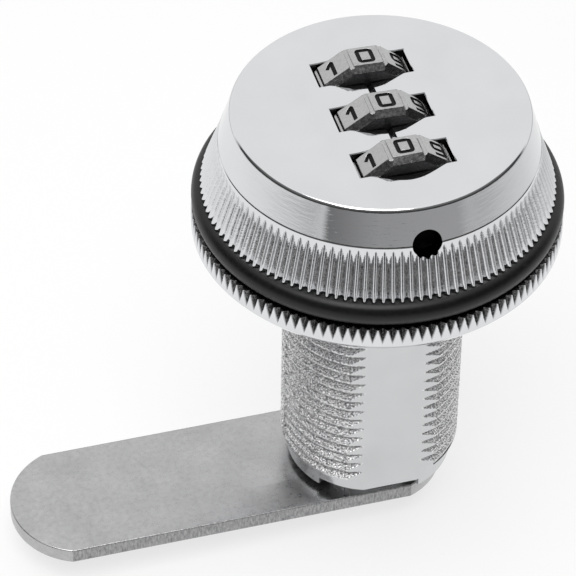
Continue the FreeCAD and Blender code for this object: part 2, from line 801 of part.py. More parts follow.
def make_barrel():
    body = new_body("barrel")
    section = new_sketch(body, "XZ_Plane", "barrel_section")
    collar_top = barrel_bottom + dim.collar_length
    outline(section, [
        (spindle_bore_radius, flange_top),
        (flange_radius, flange_top),
        (flange_radius, dim.seal_floor),
        (dim.thread_radius, dim.seal_floor),
        (dim.thread_radius, collar_top + dim.collar_taper),
        (dim.collar_radius, collar_top),
        (dim.collar_radius, barrel_bottom),
        (spindle_bore_radius, barrel_bottom),
    ])
    turn(body, "Revolution", section, "barrel_turned")
    cut_thread(body, collar_top + dim.collar_taper)
    add_stop_lugs(body)
    sketch = new_sketch(body, "XY_Plane", "flats", dim.seal_floor)
    beyond = dim.thread_radius + 1
    rectangle(sketch, -beyond, beyond, dim.flat_offset, beyond)
    rectangle(sketch, -beyond, beyond, -beyond, -dim.flat_offset)
    extrude(body, "Pocket", sketch, dim.barrel_depth + dim.seal_floor + dim.lug_depth * 2, "flat_cuts")
    sketch = new_sketch(body, "XY_Plane", "notch_place", flange_top)
    gap = dim.bar_clearance
    rectangle(sketch, bar_inner - gap, bar_outer + gap,
              -dim.bar_nose_half_length - gap, dim.bar_nose_half_length + gap)
    extrude(body, "Pocket", sketch, dim.bar_notch_depth, "bar_notch")
    return body


def cut_thread(body, end):
    """The coarse thread as V grooves a pitch apart, counted up from the shank's lower end."""
    section = new_sketch(body, "XZ_Plane", "thread_section")
    middle = end + dim.thread_pitch / 2
    floor = dim.thread_radius - dim.thread_depth
    slope = (dim.thread_half_width - dim.thread_floor_half_width) / dim.thread_depth
    beyond = dim.thread_depth / 4
    mouth = dim.thread_half_width + slope * beyond
    outline(section, [
        (floor, middle - dim.thread_floor_half_width),
        (dim.thread_radius + beyond, middle - mouth),
        (dim.thread_radius + beyond, middle + mouth),
        (floor, middle + dim.thread_floor_half_width),
    ])
    groove = turn(body, "Groove", section, "thread_groove")
    row = body.newObject("PartDesign::LinearPattern", "thread")
    row.Originals = [groove]
    row.Direction = (origin_feature(body, "Z_Axis"), [""])
    bind(row, "Length", dim.thread_pitch * (dim.thread_grooves - 1))
    bind(row, "Occurrences", dim.thread_grooves)
    body.Tip = row


def add_stop_lugs(body):
    """Two raised arcs under the barrel that stop the disc's tab a quarter turn apart."""
    sketch = new_sketch(body, "XY_Plane", "lug_outline", barrel_bottom)
    for start, sweep in ((dim.left_lug_start, dim.left_lug_sweep),
                         (dim.right_lug_start, dim.right_lug_sweep)):
        sector(sketch, dim.lug_inner_radius, dim.collar_radius, start, sweep)
    extrude(body, "Pad", sketch, dim.lug_depth, "lugs", backwards=True)


def sector(sketch, inner, outer, start, sweep):
    """Part of a ring between two angles."""
    end = start + sweep
    outline(sketch, [
        (inner * cosine(start), inner * sine(start)),
        (outer * cosine(start), outer * sine(start)),
        (outer * cosine(end), outer * sine(end)),
        (inner * cosine(end), inner * sine(end)),
    ], {1: (outer, False), 3: (inner, True)})


def make_sealing_ring():
    """Rubber ring that wraps the flange, with a rounded outer side."""
    body = new_body("sealing_ring")
    section = new_sketch(body, "XZ_Plane", "seal_section")
    wall_inner = flange_radius + 0.1
    half_chord_squared = (seal_top * seal_top + dim.seal_flare * dim.seal_flare) / 4
    side_radius = (half_chord_squared + dim.seal_bulge * dim.seal_bulge) / (dim.seal_bulge * 2)
    outline(section, [
        (dim.seal_bore_radius, 0),
        (seal_foot_radius, 0),
        (seal_lip_radius, seal_top),
        (wall_inner, seal_top),
        (wall_inner, dim.seal_floor),
        (dim.seal_bore_radius, dim.seal_floor),
    ], {1: (side_radius, False)})
    turn(body, "Revolution", section, "seal_turned")
    return body


def make_annulus(name, label, inner, outer, thickness, z):
    ring = cut(name, cylinder(name + "_outer", outer, thickness, 0, 0, z),
               cylinder(name + "_inner", inner, thickness * 3, 0, 0, z - thickness))
    return named(ring, label)


def make_spindle_seal():
    ring = doc.addObject("Part::Torus", "spindle_seal_ring")
    bind(ring, "Radius1", oring_groove_radius() + dim.oring_wire_radius + 0.02)
    bind(ring, "Radius2", dim.oring_wire_radius)
    middle = carrier_bottom - dim.oring_depth - dim.oring_groove_width / 2
    return named(move(ring, 0, 0, middle), "spindle_seal")


# Ring nut: V grooves all round, and a bevel underneath that they run out on

def make_ring_nut():
    body = new_body("ring_nut")
    section = new_sketch(body, "XZ_Plane", "nut_section")
    bore = dim.thread_radius + dim.nut_clearance
    outline(section, [
        (bore, nut_bottom),
        (nut_radius - dim.nut_bevel_radial, nut_bottom),
        (nut_radius, nut_bottom + dim.nut_bevel_axial),
        (nut_radius, nut_top),
        (bore, nut_top),
    ])
    turn(body, "Revolution", section, "nut_turned")
    sketch = new_sketch(body, "XY_Plane", "nut_groove_section", nut_top)
    floor = nut_radius - dim.nut_knurl_depth
    opening = dim.nut_knurl_depth * 1.02
    outline(sketch, [(floor, 0), (floor + opening, -opening), (floor + opening, opening)])
    groove = extrude(body, "Pocket", sketch, dim.nut_thickness, "nut_groove")
    repeat_round(body, groove, dim.knurl_count, "nut_knurl")
    return body


# Stop disc, cam and the screw stack on the square end of the spindle

def make_stop_disc():
    """Disc under the barrel whose tab runs between the stop lugs."""
    body = new_body("stop_disc")
    sketch = new_sketch(body, "XY_Plane", "stop_outline", cam_top)
    circle(sketch, 0, 0, dim.stop_radius)
    extrude(body, "Pad", sketch, dim.stop_thickness, "stop_plate")
    sketch = new_sketch(body, "XY_Plane", "tab_outline", stop_top)
    start = dim.stop_tab_middle - dim.stop_tab_sweep / 2
    sector(sketch, dim.stop_radius - 1, dim.stop_tab_radius, start, dim.stop_tab_sweep)
    extrude(body, "Pad", sketch, dim.stop_tab_thickness, "stop_tab", backwards=True)
    sketch = new_sketch(body, "XY_Plane", "stop_square", stop_top)
    rectangle(sketch, -square_hole_half, square_hole_half, -square_hole_half, square_hole_half)
    extrude(body, "Pocket", sketch, dim.stop_thickness * 2, "stop_hole")
    return body


def make_cam():
    """Flat steel bar with a round tip, a wide round rear end and a square hole."""
    body = new_body("cam")
    sketch = new_sketch(body, "XY_Plane", "cam_outline", cam_bottom)
    wide = dim.cam_half_width
    rear = root(dim.cam_rear_radius * dim.cam_rear_radius - wide * wide)
    tip = -(dim.cam_tip_centre + root(dim.cam_tip_radius * dim.cam_tip_radius - wide * wide))
    outline(sketch, [(tip, -wide), (rear, -wide), (rear, wide), (tip, wide)],
            {1: (dim.cam_rear_radius, False), 3: (dim.cam_tip_radius, False)})
    pad = extrude(body, "Pad", sketch, dim.cam_thickness, "cam_plate")
    doc.recompute()
    edges = ["Edge%d" % (index + 1) for index, edge in enumerate(pad.Shape.Edges)
             if abs(edge.tangentAt(edge.FirstParameter).z) < 0.5]
    rounding = body.newObject("PartDesign::Fillet", "cam_edges")
    rounding.Base = (pad, edges)
    bind(rounding, "Radius", dim.cam_edge_round)
    sketch = new_sketch(body, "XY_Plane", "cam_square", cam_top)
    rectangle(sketch, -square_hole_half, square_hole_half, -square_hole_half, square_hole_half)
    extrude(body, "Pocket", sketch, dim.cam_thickness * 2, "cam_hole")
    return body


def make_cam_screw():
    """Round-headed screw with a hexagon socket."""
    head_top = cam_bottom - dim.cam_washer_thickness - dim.lock_washer_thickness
    head_bottom = head_top - dim.cam_screw_head_height
    bevel = dim.cam_screw_head_bevel
    head = cylinder("cam_screw_head", dim.cam_screw_head_radius, dim.cam_screw_head_height - bevel,
                    0, 0, head_bottom + bevel)
    edge = cone("cam_screw_edge", dim.cam_screw_head_radius - bevel, dim.cam_screw_head_radius,
                bevel, 0, 0, head_bottom)
    shank_top = square_bottom + dim.cam_screw_length - 1.5
    shank = cylinder("cam_screw_shank", dim.cam_screw_radius, shank_top - head_top + 0.1,
                     0, 0, head_top - 0.1)
    socket = doc.addObject("Part::Prism", "cam_screw_socket")
    socket.Polygon = 6
    bind(socket, "Circumradius", dim.cam_screw_socket / cosine(Size("30", 30)))
    bind(socket, "Height", dim.cam_screw_head_height * 0.6)
    move(socket, 0, 0, head_bottom)
    solid = fuse("cam_screw_solid", [head, edge, shank])
    return named(cut("cam_screw_cut", solid, socket), "cam_screw")


# Build every piece

pieces = [
    make_knob_shell(),
    make_wheel_axle(),
    make_wheel_carrier(),
    make_carrier_screws(),
    make_locking_bar(),
    make_detent_spring(),
    make_barrel(),
    make_sealing_ring(),
    make_annulus("thrust_ring", "thrust_washer", spindle_bore_radius + 0.05,
                 dim.washer_outer_radius, dim.washer_thickness, flange_top),
    make_spindle_seal(),
    make_ring_nut(),
    make_stop_disc(),
    make_cam(),
    make_annulus("washer_ring", "cam_washer", dim.cam_screw_radius + 0.15, dim.cam_washer_radius,
                 dim.cam_washer_thickness, cam_bottom - dim.cam_washer_thickness),
    make_annulus("lock_ring", "cam_lock_washer", dim.cam_screw_radius + 0.15, dim.lock_washer_radius,
                 dim.lock_washer_thickness,
                 cam_bottom - dim.cam_washer_thickness - dim.lock_washer_thickness),
    make_cam_screw(),
    make_coil("axle_coil", "axle_spring", dim.axle_radius + dim.spring_wire_radius + 0.1,
              dim.spring_wire_radius, dim.spring_length, dim.spring_turns,
              0, last_collar_end + 0.05, axle_height, "Y"),
    make_coil("bar_coil", "locking_bar_spring", dim.bar_spring_radius, dim.spring_wire_radius,
              knob_ceiling - bar_top - 0.1, dim.bar_spring_turns,
              dim.bar_offset, 0, bar_top + 0.05),
]
wheel_turns = [dim.wheel_1_turn, dim.wheel_2_turn, dim.wheel_3_turn]
for number, (place, angle) in enumerate(zip(wheel_places, wheel_turns), 1):
    pieces.append(make_number_wheel(number, place, angle))
    pieces.append(make_code_hub(number, place, angle))

doc.recompute()
for item in doc.Objects:
    if "Invalid" in item.State or "Error" in item.State:
        raise RuntimeError("%s: %s" % (item.Label, item.State))
os.makedirs("parts", exist_ok=True)
for piece in pieces:
    if piece.Shape.isNull() or not piece.Shape.isValid():
        raise RuntimeError("bad shape: " + piece.Label)
    piece.Shape.exportStep("parts/%s.step" % piece.Label)
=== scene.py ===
import math

import bmesh
import bpy
import numpy as np
from mathutils import Matrix
from mathutils.geometry import tessellate_polygon


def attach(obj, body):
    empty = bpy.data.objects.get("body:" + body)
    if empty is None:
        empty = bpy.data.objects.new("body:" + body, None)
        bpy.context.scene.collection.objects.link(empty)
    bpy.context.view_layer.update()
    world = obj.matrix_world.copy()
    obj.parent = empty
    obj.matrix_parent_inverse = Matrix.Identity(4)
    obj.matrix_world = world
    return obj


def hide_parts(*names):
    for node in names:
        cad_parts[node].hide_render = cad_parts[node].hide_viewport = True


# A chromed locker lock: knurled knob with three number wheels, rubber sealing ring, ring nut,
# die-cast threaded barrel and a flat cam. Sizes are in millimetres, and a mesh is turned to metres
# when it is made. Floor and lamp are in metres. Single angles are in degrees, arrays in radians.

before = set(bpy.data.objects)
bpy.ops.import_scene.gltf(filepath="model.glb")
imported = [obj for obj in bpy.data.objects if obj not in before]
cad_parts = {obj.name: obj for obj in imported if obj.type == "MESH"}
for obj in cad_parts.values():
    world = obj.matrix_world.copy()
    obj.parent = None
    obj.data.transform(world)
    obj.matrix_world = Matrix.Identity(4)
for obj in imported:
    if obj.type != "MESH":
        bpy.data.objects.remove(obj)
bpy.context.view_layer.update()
scene = bpy.context.scene

MM = 0.001
WELD, SHORTEST_EDGE = 0.002, 0.0005
AXLE_HEIGHT = 9.67
# the wheels' places along y, from far to near, and the degrees that each stands turned
WHEEL_PLACES = {1: 7.66, 2: -0.62, 3: -8.90}
WHEEL_TURNS = {1: 2.8, 2: 2.8, 3: 0.0}
KNURLS = 120


# Mesh helpers

class Shell:
    """Gathers grids and loose faces, in millimetres, and welds them into one mesh."""

    def __init__(self):
        self.points = []
        self.faces = []
        self.slots = []
        self.marks = []
        self.count = 0

    def add(self, points, faces, slot=0, mark=0.0):
        """Points as an N by 3 array, faces as lists of point numbers."""
        points = np.asarray(points, float).reshape(-1, 3)
        self.faces += [[corner + self.count for corner in face] for face in faces]
        self.slots += [slot] * len(faces)
        self.points.append(points)
        self.marks.append(np.broadcast_to(mark, len(points)))
        self.count += len(points)

    def add_grid(self, grid, wrap=False, slot=0, mark=0.0):
        """A grid of rows by columns of points; wrap joins the last column to the first."""
        rows, columns = grid.shape[:2]
        number = np.arange(rows * columns).reshape(rows, columns)
        following = np.roll(number, -1, axis=1)
        if not wrap:
            number, following = number[:, :-1], following[:, :-1]
        quads = np.stack([number[:-1], following[:-1], following[1:], number[1:]], axis=-1)
        if not np.isscalar(mark):
            mark = np.asarray(mark).ravel()
        self.add(grid, quads.reshape(-1, 4).tolist(), slot, mark)

    def build(self, name, materials, sharp=30.0, mark_name=None):
        """The finished object at the origin, its faces pointing outwards."""
        mesh = bpy.data.meshes.new(name)
        mesh.from_pydata(np.concatenate(self.points) * MM, [], self.faces)
        mesh.polygons.foreach_set("material_index", np.array(self.slots, np.int32))
        if mark_name:
            layer = mesh.attributes.new(mark_name, "FLOAT", "POINT")
            layer.data.foreach_set("value", np.concatenate(self.marks).astype(np.float32))
        form = bmesh.new()
        form.from_mesh(mesh)
        bmesh.ops.remove_doubles(form, verts=form.verts, dist=WELD * MM)
        bmesh.ops.dissolve_degenerate(form, edges=form.edges, dist=SHORTEST_EDGE * MM)
        bmesh.ops.recalc_face_normals(form, faces=form.faces)
        form.to_mesh(mesh)
        form.free()
        for material in materials:
            mesh.materials.append(material)
        mesh.polygons.foreach_set("use_smooth", np.ones(len(mesh.polygons), bool))
        mesh.set_sharp_from_angle(angle=math.radians(sharp))
        piece = bpy.data.objects.new(name, mesh)
        scene.collection.objects.link(piece)
        return piece


def turned(radius, height, angles):
    """Grid of points at (radius, height), each turned through its angle about the lock's axis."""
    x, y, z = np.broadcast_arrays(radius * np.cos(angles), radius * np.sin(angles), height)
    return np.stack([x, y, z], axis=-1)


def lathe(profile, angles):
    """Grid of a profile of (radius, height) turned through the angles."""
    radius, height = np.asarray(profile, float).T
    return turned(radius[:, None], height[:, None], angles)


def along_axle(grid, place):
    """A lathe's grid laid with its axis on the wheels' axle, moved along it to a place."""
    return grid[..., [0, 2, 1]] + [0, place, AXLE_HEIGHT]


def around(count):
    """Angles of a full turn, without the last one that would repeat the first."""
    return np.arange(count) * 2 * np.pi / count


def arc(centre, radius, start, end, count):
    """Points (x, y) of an arc, the angles in degrees."""
    angle = np.radians(np.linspace(start, end, count))
    return [(centre[0] + radius * c, centre[1] + radius * s)
            for c, s in zip(np.cos(angle), np.sin(angle))]


def offset_loop(loop, distance):
    """Closed plane loop moved sideways by a distance, to the right of its direction, mitred."""
    ahead = np.roll(loop, -1, axis=0) - loop
    ahead /= np.maximum(np.linalg.norm(ahead, axis=1, keepdims=True), 1e-9)
    normal = np.stack([ahead[:, 1], -ahead[:, 0]], axis=1)
    before = np.roll(normal, 1, axis=0)
    mitre = (normal + before) / (1 + np.sum(normal * before, axis=1, keepdims=True))
    return loop + mitre * distance


def finish_piece(piece, body, slot, *nodes):
    """The piece rides on its body and stands for its CAD nodes."""
    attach(piece, body)
    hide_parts(*nodes)


# Materials

def linear(code):
    """sRGB hex to linear RGBA."""
    parts = [int(code[i:i + 2], 16) / 255 for i in (1, 3, 5)]
    return [p / 12.92 if p <= 0.04045 else ((p + 0.055) / 1.055) ** 2.4 for p in parts] + [1.0]


def add_node(tree, kind, settings=None, links=None):
    """Adds a node, sets its properties, sockets and colour stops, and links outputs to its sockets.

    Stops are (place, hex) pairs of a colour ramp, and a hex code in a colour socket is turned
    to linear.
    """
    node = tree.nodes.new(kind)
    for name, value in (settings or {}).items():
        if name == "stops":
            elements = node.color_ramp.elements
            while len(elements) < len(value):
                elements.new(0.5)
            for element, (place, code) in zip(elements, value):
                element.position = place
                element.color = linear(code)
        elif isinstance(name, str) and hasattr(node, name):
            setattr(node, name, value)
        else:
            node.inputs[name].default_value = linear(value) if isinstance(value, str) else value
    for socket, output in (links or {}).items():
        tree.links.new(output, node.inputs[socket])
    return node


def new_material(name, **sockets):
    """A Principled material with the given socket values; returns material, tree and shader."""
    material = bpy.data.materials.new(name)
    material.use_nodes = True
    shader = material.node_tree.nodes["Principled BSDF"]
    for socket, value in sockets.items():
        shader.inputs[socket.replace("_", " ")].default_value = value
    return material, material.node_tree, shader


def grains(across, detail=2.0, roughness=0.5):
    """Noise settings for grains about so many millimetres across.

    Grain from plating, blasting and moulding is really under 0.1 mm. It is drawn 0.2 to 0.7 mm
    coarse, which is what still shows in the render.
    """
    return {"Scale": 1 / MM / across, "Detail": detail, "Roughness": roughness}


def proud(height, strength):
    """Bump settings for relief that stands so many millimetres proud."""
    return {"Distance": height * MM, "Strength": strength}


def grainy(name, texture, stops, gloss=None, relief=None, stretch=None, **sockets):
    """A surface coloured by its grain from stop to stop, on Object coordinates.

    Gloss is the roughness where the grain's value is 0.3 and where it is 0.7, and relief makes
    the grain stand proud. Stretch scales the place along x, y and z before the grain is drawn.
    """
    material, tree, shader = new_material(name, **sockets)
    place = add_node(tree, "ShaderNodeTexCoord").outputs["Object"]
    if stretch:
        place = add_node(tree, "ShaderNodeMapping", {"Scale": stretch}, {"Vector": place}).outputs[0]
    grain = add_node(tree, "ShaderNodeTexNoise", texture, {"Vector": place}).outputs["Fac"]
    colour = add_node(tree, "ShaderNodeValToRGB", {"stops": stops}, {"Fac": grain})
    tree.links.new(colour.outputs["Color"], shader.inputs["Base Color"])
    if gloss:
        duller = add_node(tree, "ShaderNodeMapRange", {1: 0.3, 2: 0.7, 3: gloss[0], 4: gloss[1]},
                          {0: grain})
        tree.links.new(duller.outputs[0], shader.inputs["Roughness"])
    if relief:
        raised = add_node(tree, "ShaderNodeBump", relief, {"Height": grain})
        tree.links.new(raised.outputs["Normal"], shader.inputs["Normal"])
    return material


def polished_chrome(name, groove_stops, groove_depths):
    """Die-cast zinc, polished and chrome-plated: mirror gloss with faint turned streaks.

    The polishing wheel doesn't reach into a knurl, so its grooves stay duller and greyer, with
    the groove's colours from its grain. Near-black groove colours, as on the nut, are painted
    shade deep in the grooves. The change comes between two depths below the crest.
    """
    material, tree, shader = new_material(name, Metallic=1.0)
    place = add_node(tree, "ShaderNodeTexCoord").outputs["Object"]
    axes = add_node(tree, "ShaderNodeSeparateXYZ", None, {0: place}).outputs
    angle = add_node(tree, "ShaderNodeMath", {"operation": "ARCTAN2"}, {0: axes[1], 1: axes[0]})
    # a radian counts as 3 mm, so that the streaks are long round the knob and thin up it
    around_axis = add_node(tree, "ShaderNodeMath", {"operation": "MULTIPLY", 1: 3 * MM},
                           {0: angle.outputs[0]})
    lathe_place = add_node(tree, "ShaderNodeCombineXYZ", None,
                           {"X": around_axis.outputs[0], "Z": axes[2]})
    streaks = add_node(tree, "ShaderNodeTexNoise", grains(0.35, 3.0, 0.6),
                       {"Vector": lathe_place.outputs[0]})
    cloud = add_node(tree, "ShaderNodeTexNoise", grains(6.0), {"Vector": place})
    grain = add_node(tree, "ShaderNodeTexNoise", grains(0.2, 3.0, 0.7), {"Vector": place})
    groove = add_node(tree, "ShaderNodeAttribute", {"attribute_name": "groove"})
    dull = add_node(tree, "ShaderNodeMapRange", {1: groove_depths[0], 2: groove_depths[1]},
                    {0: groove.outputs["Fac"]}).outputs[0]
    plain = add_node(tree, "ShaderNodeValToRGB", {"stops": [(0.3, "#dddee0"), (0.7, "#e1e2e4")]},
                     {"Fac": cloud.outputs["Fac"]})
    unpolished = add_node(tree, "ShaderNodeValToRGB", {"stops": groove_stops},
                          {"Fac": grain.outputs["Fac"]})
    colour = add_node(tree, "ShaderNodeMix", {"data_type": "RGBA"},
                      {0: dull, 6: plain.outputs["Color"], 7: unpolished.outputs["Color"]})
    tree.links.new(colour.outputs[2], shader.inputs["Base Color"])
    gloss = add_node(tree, "ShaderNodeMapRange", {3: 0.06, 4: 0.32}, {0: dull})
    tree.links.new(gloss.outputs[0], shader.inputs["Roughness"])
    relief = add_node(tree, "ShaderNodeBump", proud(0.016, 0.6), {"Height": streaks.outputs["Fac"]})
    tree.links.new(relief.outputs["Normal"], shader.inputs["Normal"])
    return material


def pocket_zinc():
    """Inside of the knob, its windows and the wheels' flat sides: dull, and darkened with painted
    shade.
    """
    return grainy("pocket_painted_shade", grains(0.3, 3.0, 0.6), [(0.3, "#4e4e4f"), (0.7, "#666667")],
                  relief=proud(0.01, 0.5), Metallic=1.0, Roughness=0.4)


def satin_chrome(name, dark, light):
    """Number wheels: cast zinc, barrel-polished and plated, so the gloss is softened and grainy.

    The bevels' darker colour is painted shade, as they stand deeper in the windows.
    """
    return grainy(name, grains(0.35, 3.0, 0.6), [(0.3, dark), (0.7, light)],
                  gloss=(0.2, 0.28), relief=proud(0.008, 0.6), Metallic=1.0)


def digit_paint():
    """Black enamel wiped into the engraved digits, dull and slightly uneven."""
    return grainy("black_fill_enamel", grains(0.3, 3.0), [(0.3, "#050505"), (0.7, "#0e0e0e")],
                  Roughness=0.6, Specular_IOR_Level=0.25)


def moulded_rubber():
    """Nitrile rubber, compression moulded: near black, with a soft broad sheen and fine dust."""
    return grainy("moulded_nitrile_rubber", grains(0.4, 4.0, 0.7),
                  [(0.35, "#0c0c0d"), (0.6, "#121213"), (0.75, "#1e1e1f")],
                  gloss=(0.32, 0.46), relief=proud(0.01, 0.4), Specular_IOR_Level=0.36)


def cast_zinc():
    """Barrel: plated zinc casting, sandy and sparkling on the thread, smooth on flats and collar."""
    material, tree, shader = new_material("plated_zinc_casting", Metallic=1.0)
    place = add_node(tree, "ShaderNodeTexCoord").outputs["Object"]
    mask = add_node(tree, "ShaderNodeAttribute", {"attribute_name": "sandy"}).outputs["Fac"]
    sand = add_node(tree, "ShaderNodeTexNoise", grains(0.2, 2.0, 0.6), {"Vector": place}).outputs["Fac"]
    cloud = add_node(tree, "ShaderNodeTexNoise", grains(9.0), {"Vector": place}).outputs["Fac"]
    smooth = add_node(tree, "ShaderNodeValToRGB", {"stops": [(0.3, "#cbcccd"), (0.7, "#d4d5d6")]},
                      {"Fac": cloud})
    pitted = add_node(tree, "ShaderNodeValToRGB",
                      {"stops": [(0.36, "#949496"), (0.5, "#d8d8d9"), (0.62, "#fcfcfc")]},
                      {"Fac": sand})
    colour = add_node(tree, "ShaderNodeMix", {"data_type": "RGBA"},
                      {0: mask, 6: smooth.outputs["Color"], 7: pitted.outputs["Color"]})
    tree.links.new(colour.outputs[2], shader.inputs["Base Color"])
    gloss = add_node(tree, "ShaderNodeMapRange", {3: 0.17, 4: 0.25}, {0: mask})
    tree.links.new(gloss.outputs[0], shader.inputs["Roughness"])
    strength = add_node(tree, "ShaderNodeMapRange", {3: 0.02, 4: 0.6}, {0: mask})
    relief = add_node(tree, "ShaderNodeBump", {"Distance": 0.25 * MM},
                      {"Height": sand, "Strength": strength.outputs[0]})
    tree.links.new(relief.outputs["Normal"], shader.inputs["Normal"])
    return material


def zinc_plated_steel():
    """Cam and washers: pressed steel, bright zinc plated, satin with fine mottling in soft clouds."""
    material, tree, shader = new_material("zinc_plated_pressed_steel", Metallic=1.0)
    place = add_node(tree, "ShaderNodeTexCoord").outputs["Object"]
    cloud = add_node(tree, "ShaderNodeTexNoise", grains(5.0, 4.0, 0.55), {"Vector": place})
    grain = add_node(tree, "ShaderNodeTexNoise", grains(0.7, 4.0, 0.65), {"Vector": place})
    dark, light = (
        add_node(tree, "ShaderNodeValToRGB", {"stops": stops}, {"Fac": cloud.outputs["Fac"]})
        for stops in ([(0.3, "#9c9c9d"), (0.7, "#a8a8a9")], [(0.3, "#c2c2c2"), (0.7, "#cececf")]))
    colour = add_node(tree, "ShaderNodeMix", {"data_type": "RGBA"},
                      {0: grain.outputs["Fac"], 6: dark.outputs["Color"], 7: light.outputs["Color"]})
    tree.links.new(colour.outputs[2], shader.inputs["Base Color"])
    gloss = add_node(tree, "ShaderNodeMapRange", {1: 0.3, 2: 0.7, 3: 0.24, 4: 0.36},
                     {0: grain.outputs["Fac"]})
    tree.links.new(gloss.outputs[0], shader.inputs["Roughness"])
    return material


def sheared_steel():
    """Cam's straight sides: sheared through and plated over the torn grain, so rough and darker.

    The tears run up the side, so the grain is three times as tall as it is wide.
    """
    return grainy("sheared_steel_edge", grains(0.25, 4.0, 0.7), [(0.35, "#7f7f80"), (0.65, "#b9b9ba")],
                  relief=proud(0.06, 0.7), stretch=(1.0, 1.0, 0.3), Metallic=1.0, Roughness=0.4)


def raw_casting():
    """Carrier inside the knob: plain zinc casting, dull grey."""
    return grainy("plain_zinc_casting", grains(0.6, 4.0), [(0.3, "#77787a"), (0.7, "#8d8e90")],
                  relief=proud(0.02, 0.6), Metallic=1.0, Roughness=0.5)


def plated_brass():
    """Code hubs: turned brass under dull nickel, with fine tool marks."""
    return grainy("nickel_plated_brass", grains(0.4, 3.0), [(0.3, "#7d7a72"), (0.7, "#98948b")],
                  relief=proud(0.01, 0.5), Metallic=1.0, Roughness=0.3)


def spring_steel():
    """Springs, axle and bar: drawn bright steel, oiled."""
    return grainy("drawn_bright_steel", grains(0.5, 3.0), [(0.3, "#8f8f90"), (0.7, "#a9a9aa")],
                  relief=proud(0.006, 0.5), Metallic=1.0, Roughness=0.25)


def natural_nylon():
    """Thrust washer: moulded nylon, milky and waxy."""
    return grainy("moulded_nylon", grains(1.5), [(0.3, "#d6d4c8"), (0.7, "#e2e0d6")],
                  relief=proud(0.01, 0.4), Roughness=0.45)


chrome = polished_chrome("polished_chrome_plate",
                         [(0.36, "#8e8e8f"), (0.5, "#d0d0d1"), (0.64, "#f8f8f8")], (0.2, 0.4))
# the nut's near-black groove colours are painted shade on top of the duller plating
groove_shaded_nut_chrome = polished_chrome("chrome_plate_painted_groove_shade",
                             [(0.36, "#2c2c2d"), (0.5, "#4a4a4b"), (0.64, "#808080")], (0.04, 0.2))
# its dark colour is painted shade in the pockets, inside the knob and on the wheels' flat ends
painted_shade_hollow = pocket_zinc()
wheel_chrome = satin_chrome("satin_chrome_plate", "#b2b2b2", "#c2c2c2")
# the bevels' darker stops are painted shade
shaded_bevel_chrome = satin_chrome("bevel_chrome_painted_shade", "#5c5c5c", "#8e8e8e")
paint = digit_paint()
rubber = moulded_rubber()
casting = cast_zinc()
plated_steel = zinc_plated_steel()
sheared = sheared_steel()
inner_casting = raw_casting()
brass = plated_brass()
bright_steel = spring_steel()
nylon = natural_nylon()


# Knob

KNOB_FOOT, KNOB_TOP = 3.05, 14.2
KNOB_CEILING = 12.6
FOOT_ROUND, EDGE, LEDGE, SCOOP_DROP = 0.2, 0.1, 0.03, 0.25
RIB_SLOPE, RIB_ROUND = 2.05, 0.6
GROOVE_HALF, GROOVE_DEPTH = 0.4, 0.5
WINDOW_HALF_LENGTH, WINDOW_NEAR, WINDOW_FAR = 5.7, 2.0, 2.15
WHEEL_PROUD = 1.93
KNOB_TOP_REACH = math.hypot(KNOB_TOP - AXLE_HEIGHT, WINDOW_HALF_LENGTH)
ANYWHERE = 9.0


def knurl_angles(count, phases):
    """Angles of the samples of every groove, phases running from -0.5 to 0.5 of a groove."""
    return ((np.arange(count)[:, None] + phases) * 2 * np.pi / count).ravel()


def from_groove_middle(angles, count, radius):
    """Distance round a circle from the nearest of the grooves' middles."""
    phase = angles * count / (2 * np.pi)
    phase = phase - np.round(phase)
    return np.abs(phase) * 2 * np.pi / count * radius


def groove_radius(radius, floor, angles, count, root=0.05, crest=0.03):
    """A crest radius cut by V grooves.

    The V is the floor plus the distance from the groove's middle, with a rounded root, and a
    smooth minimum rounds the crest: min(a, b) less a bump where the two are within crest.
    """
    across = from_groove_middle(angles, count, radius)
    cut = floor + np.sqrt(across ** 2 + root ** 2) - root
    near = np.maximum(crest - np.abs(cut - radius), 0) / crest
    return np.minimum(cut, radius) - near ** 2 * crest / 4


def knob_outside(angles):
    """Foot, ribs, plain land and cone: a point for each height and angle, and its depth in the ribs.

    A rib's section is a hyperbola. At a distance s from its middle it drops below its crest by
    sqrt((slope s)^2 + round^2) - round. Above the ribs is a turned land, and the outside is
    whichever of land and ribs stands further out, so each rib runs out to a point.
    """
    foot = KNOB_FOOT + FOOT_ROUND * (1 - np.cos(np.radians([0, 18, 36, 54, 72, 90])))
    skirt = [4.5, 6.0, 7.0]
    run_out = np.arange(7.3, 9.45, 0.17)
    cone = [9.5, 9.57, 9.6, 9.7, 10.4, 11.5, 12.6, 13.75]
    heights = np.concatenate([foot, skirt, run_out, cone])
    crest = np.interp(heights, [KNOB_FOOT, 7.0, 9.05, 9.25, 9.6], [21.03, 19.68, 18.95, 18.7, 15.0])
    land = np.interp(heights, [KNOB_FOOT, 7.0, 7.3, 9.5, 9.6, 13.8],
                     [18.0, 18.0, 18.97, 18.89, 18.82, 17.62])
    above = (KNOB_FOOT + FOOT_ROUND - heights).clip(0)
    inset = FOOT_ROUND - np.sqrt(np.maximum(FOOT_ROUND ** 2 - above ** 2, 0))
    across = from_groove_middle(angles, KNURLS, crest[:, None])
    drop = np.sqrt((RIB_SLOPE * across) ** 2 + RIB_ROUND ** 2) - RIB_ROUND
    ribs = (crest - inset)[:, None] - drop
    radius = np.maximum(ribs, land[:, None])
    # the foot's rounding is polished, so its depth counts as none
    dulled = ((heights - KNOB_FOOT - 0.1) / 0.3).clip(0, 1)
    depth = np.where(ribs > land[:, None], drop, 0) * dulled[:, None]
    return turned(radius, heights[:, None], angles), depth


def window_share(x):
    """1 over the wheels' axle, falling to 0 where the wheel passes under the face."""
    face = KNOB_TOP - AXLE_HEIGHT
    return 1 - ((np.hypot(face, x) - face) / WHEEL_PROUD).clip(0, 1)


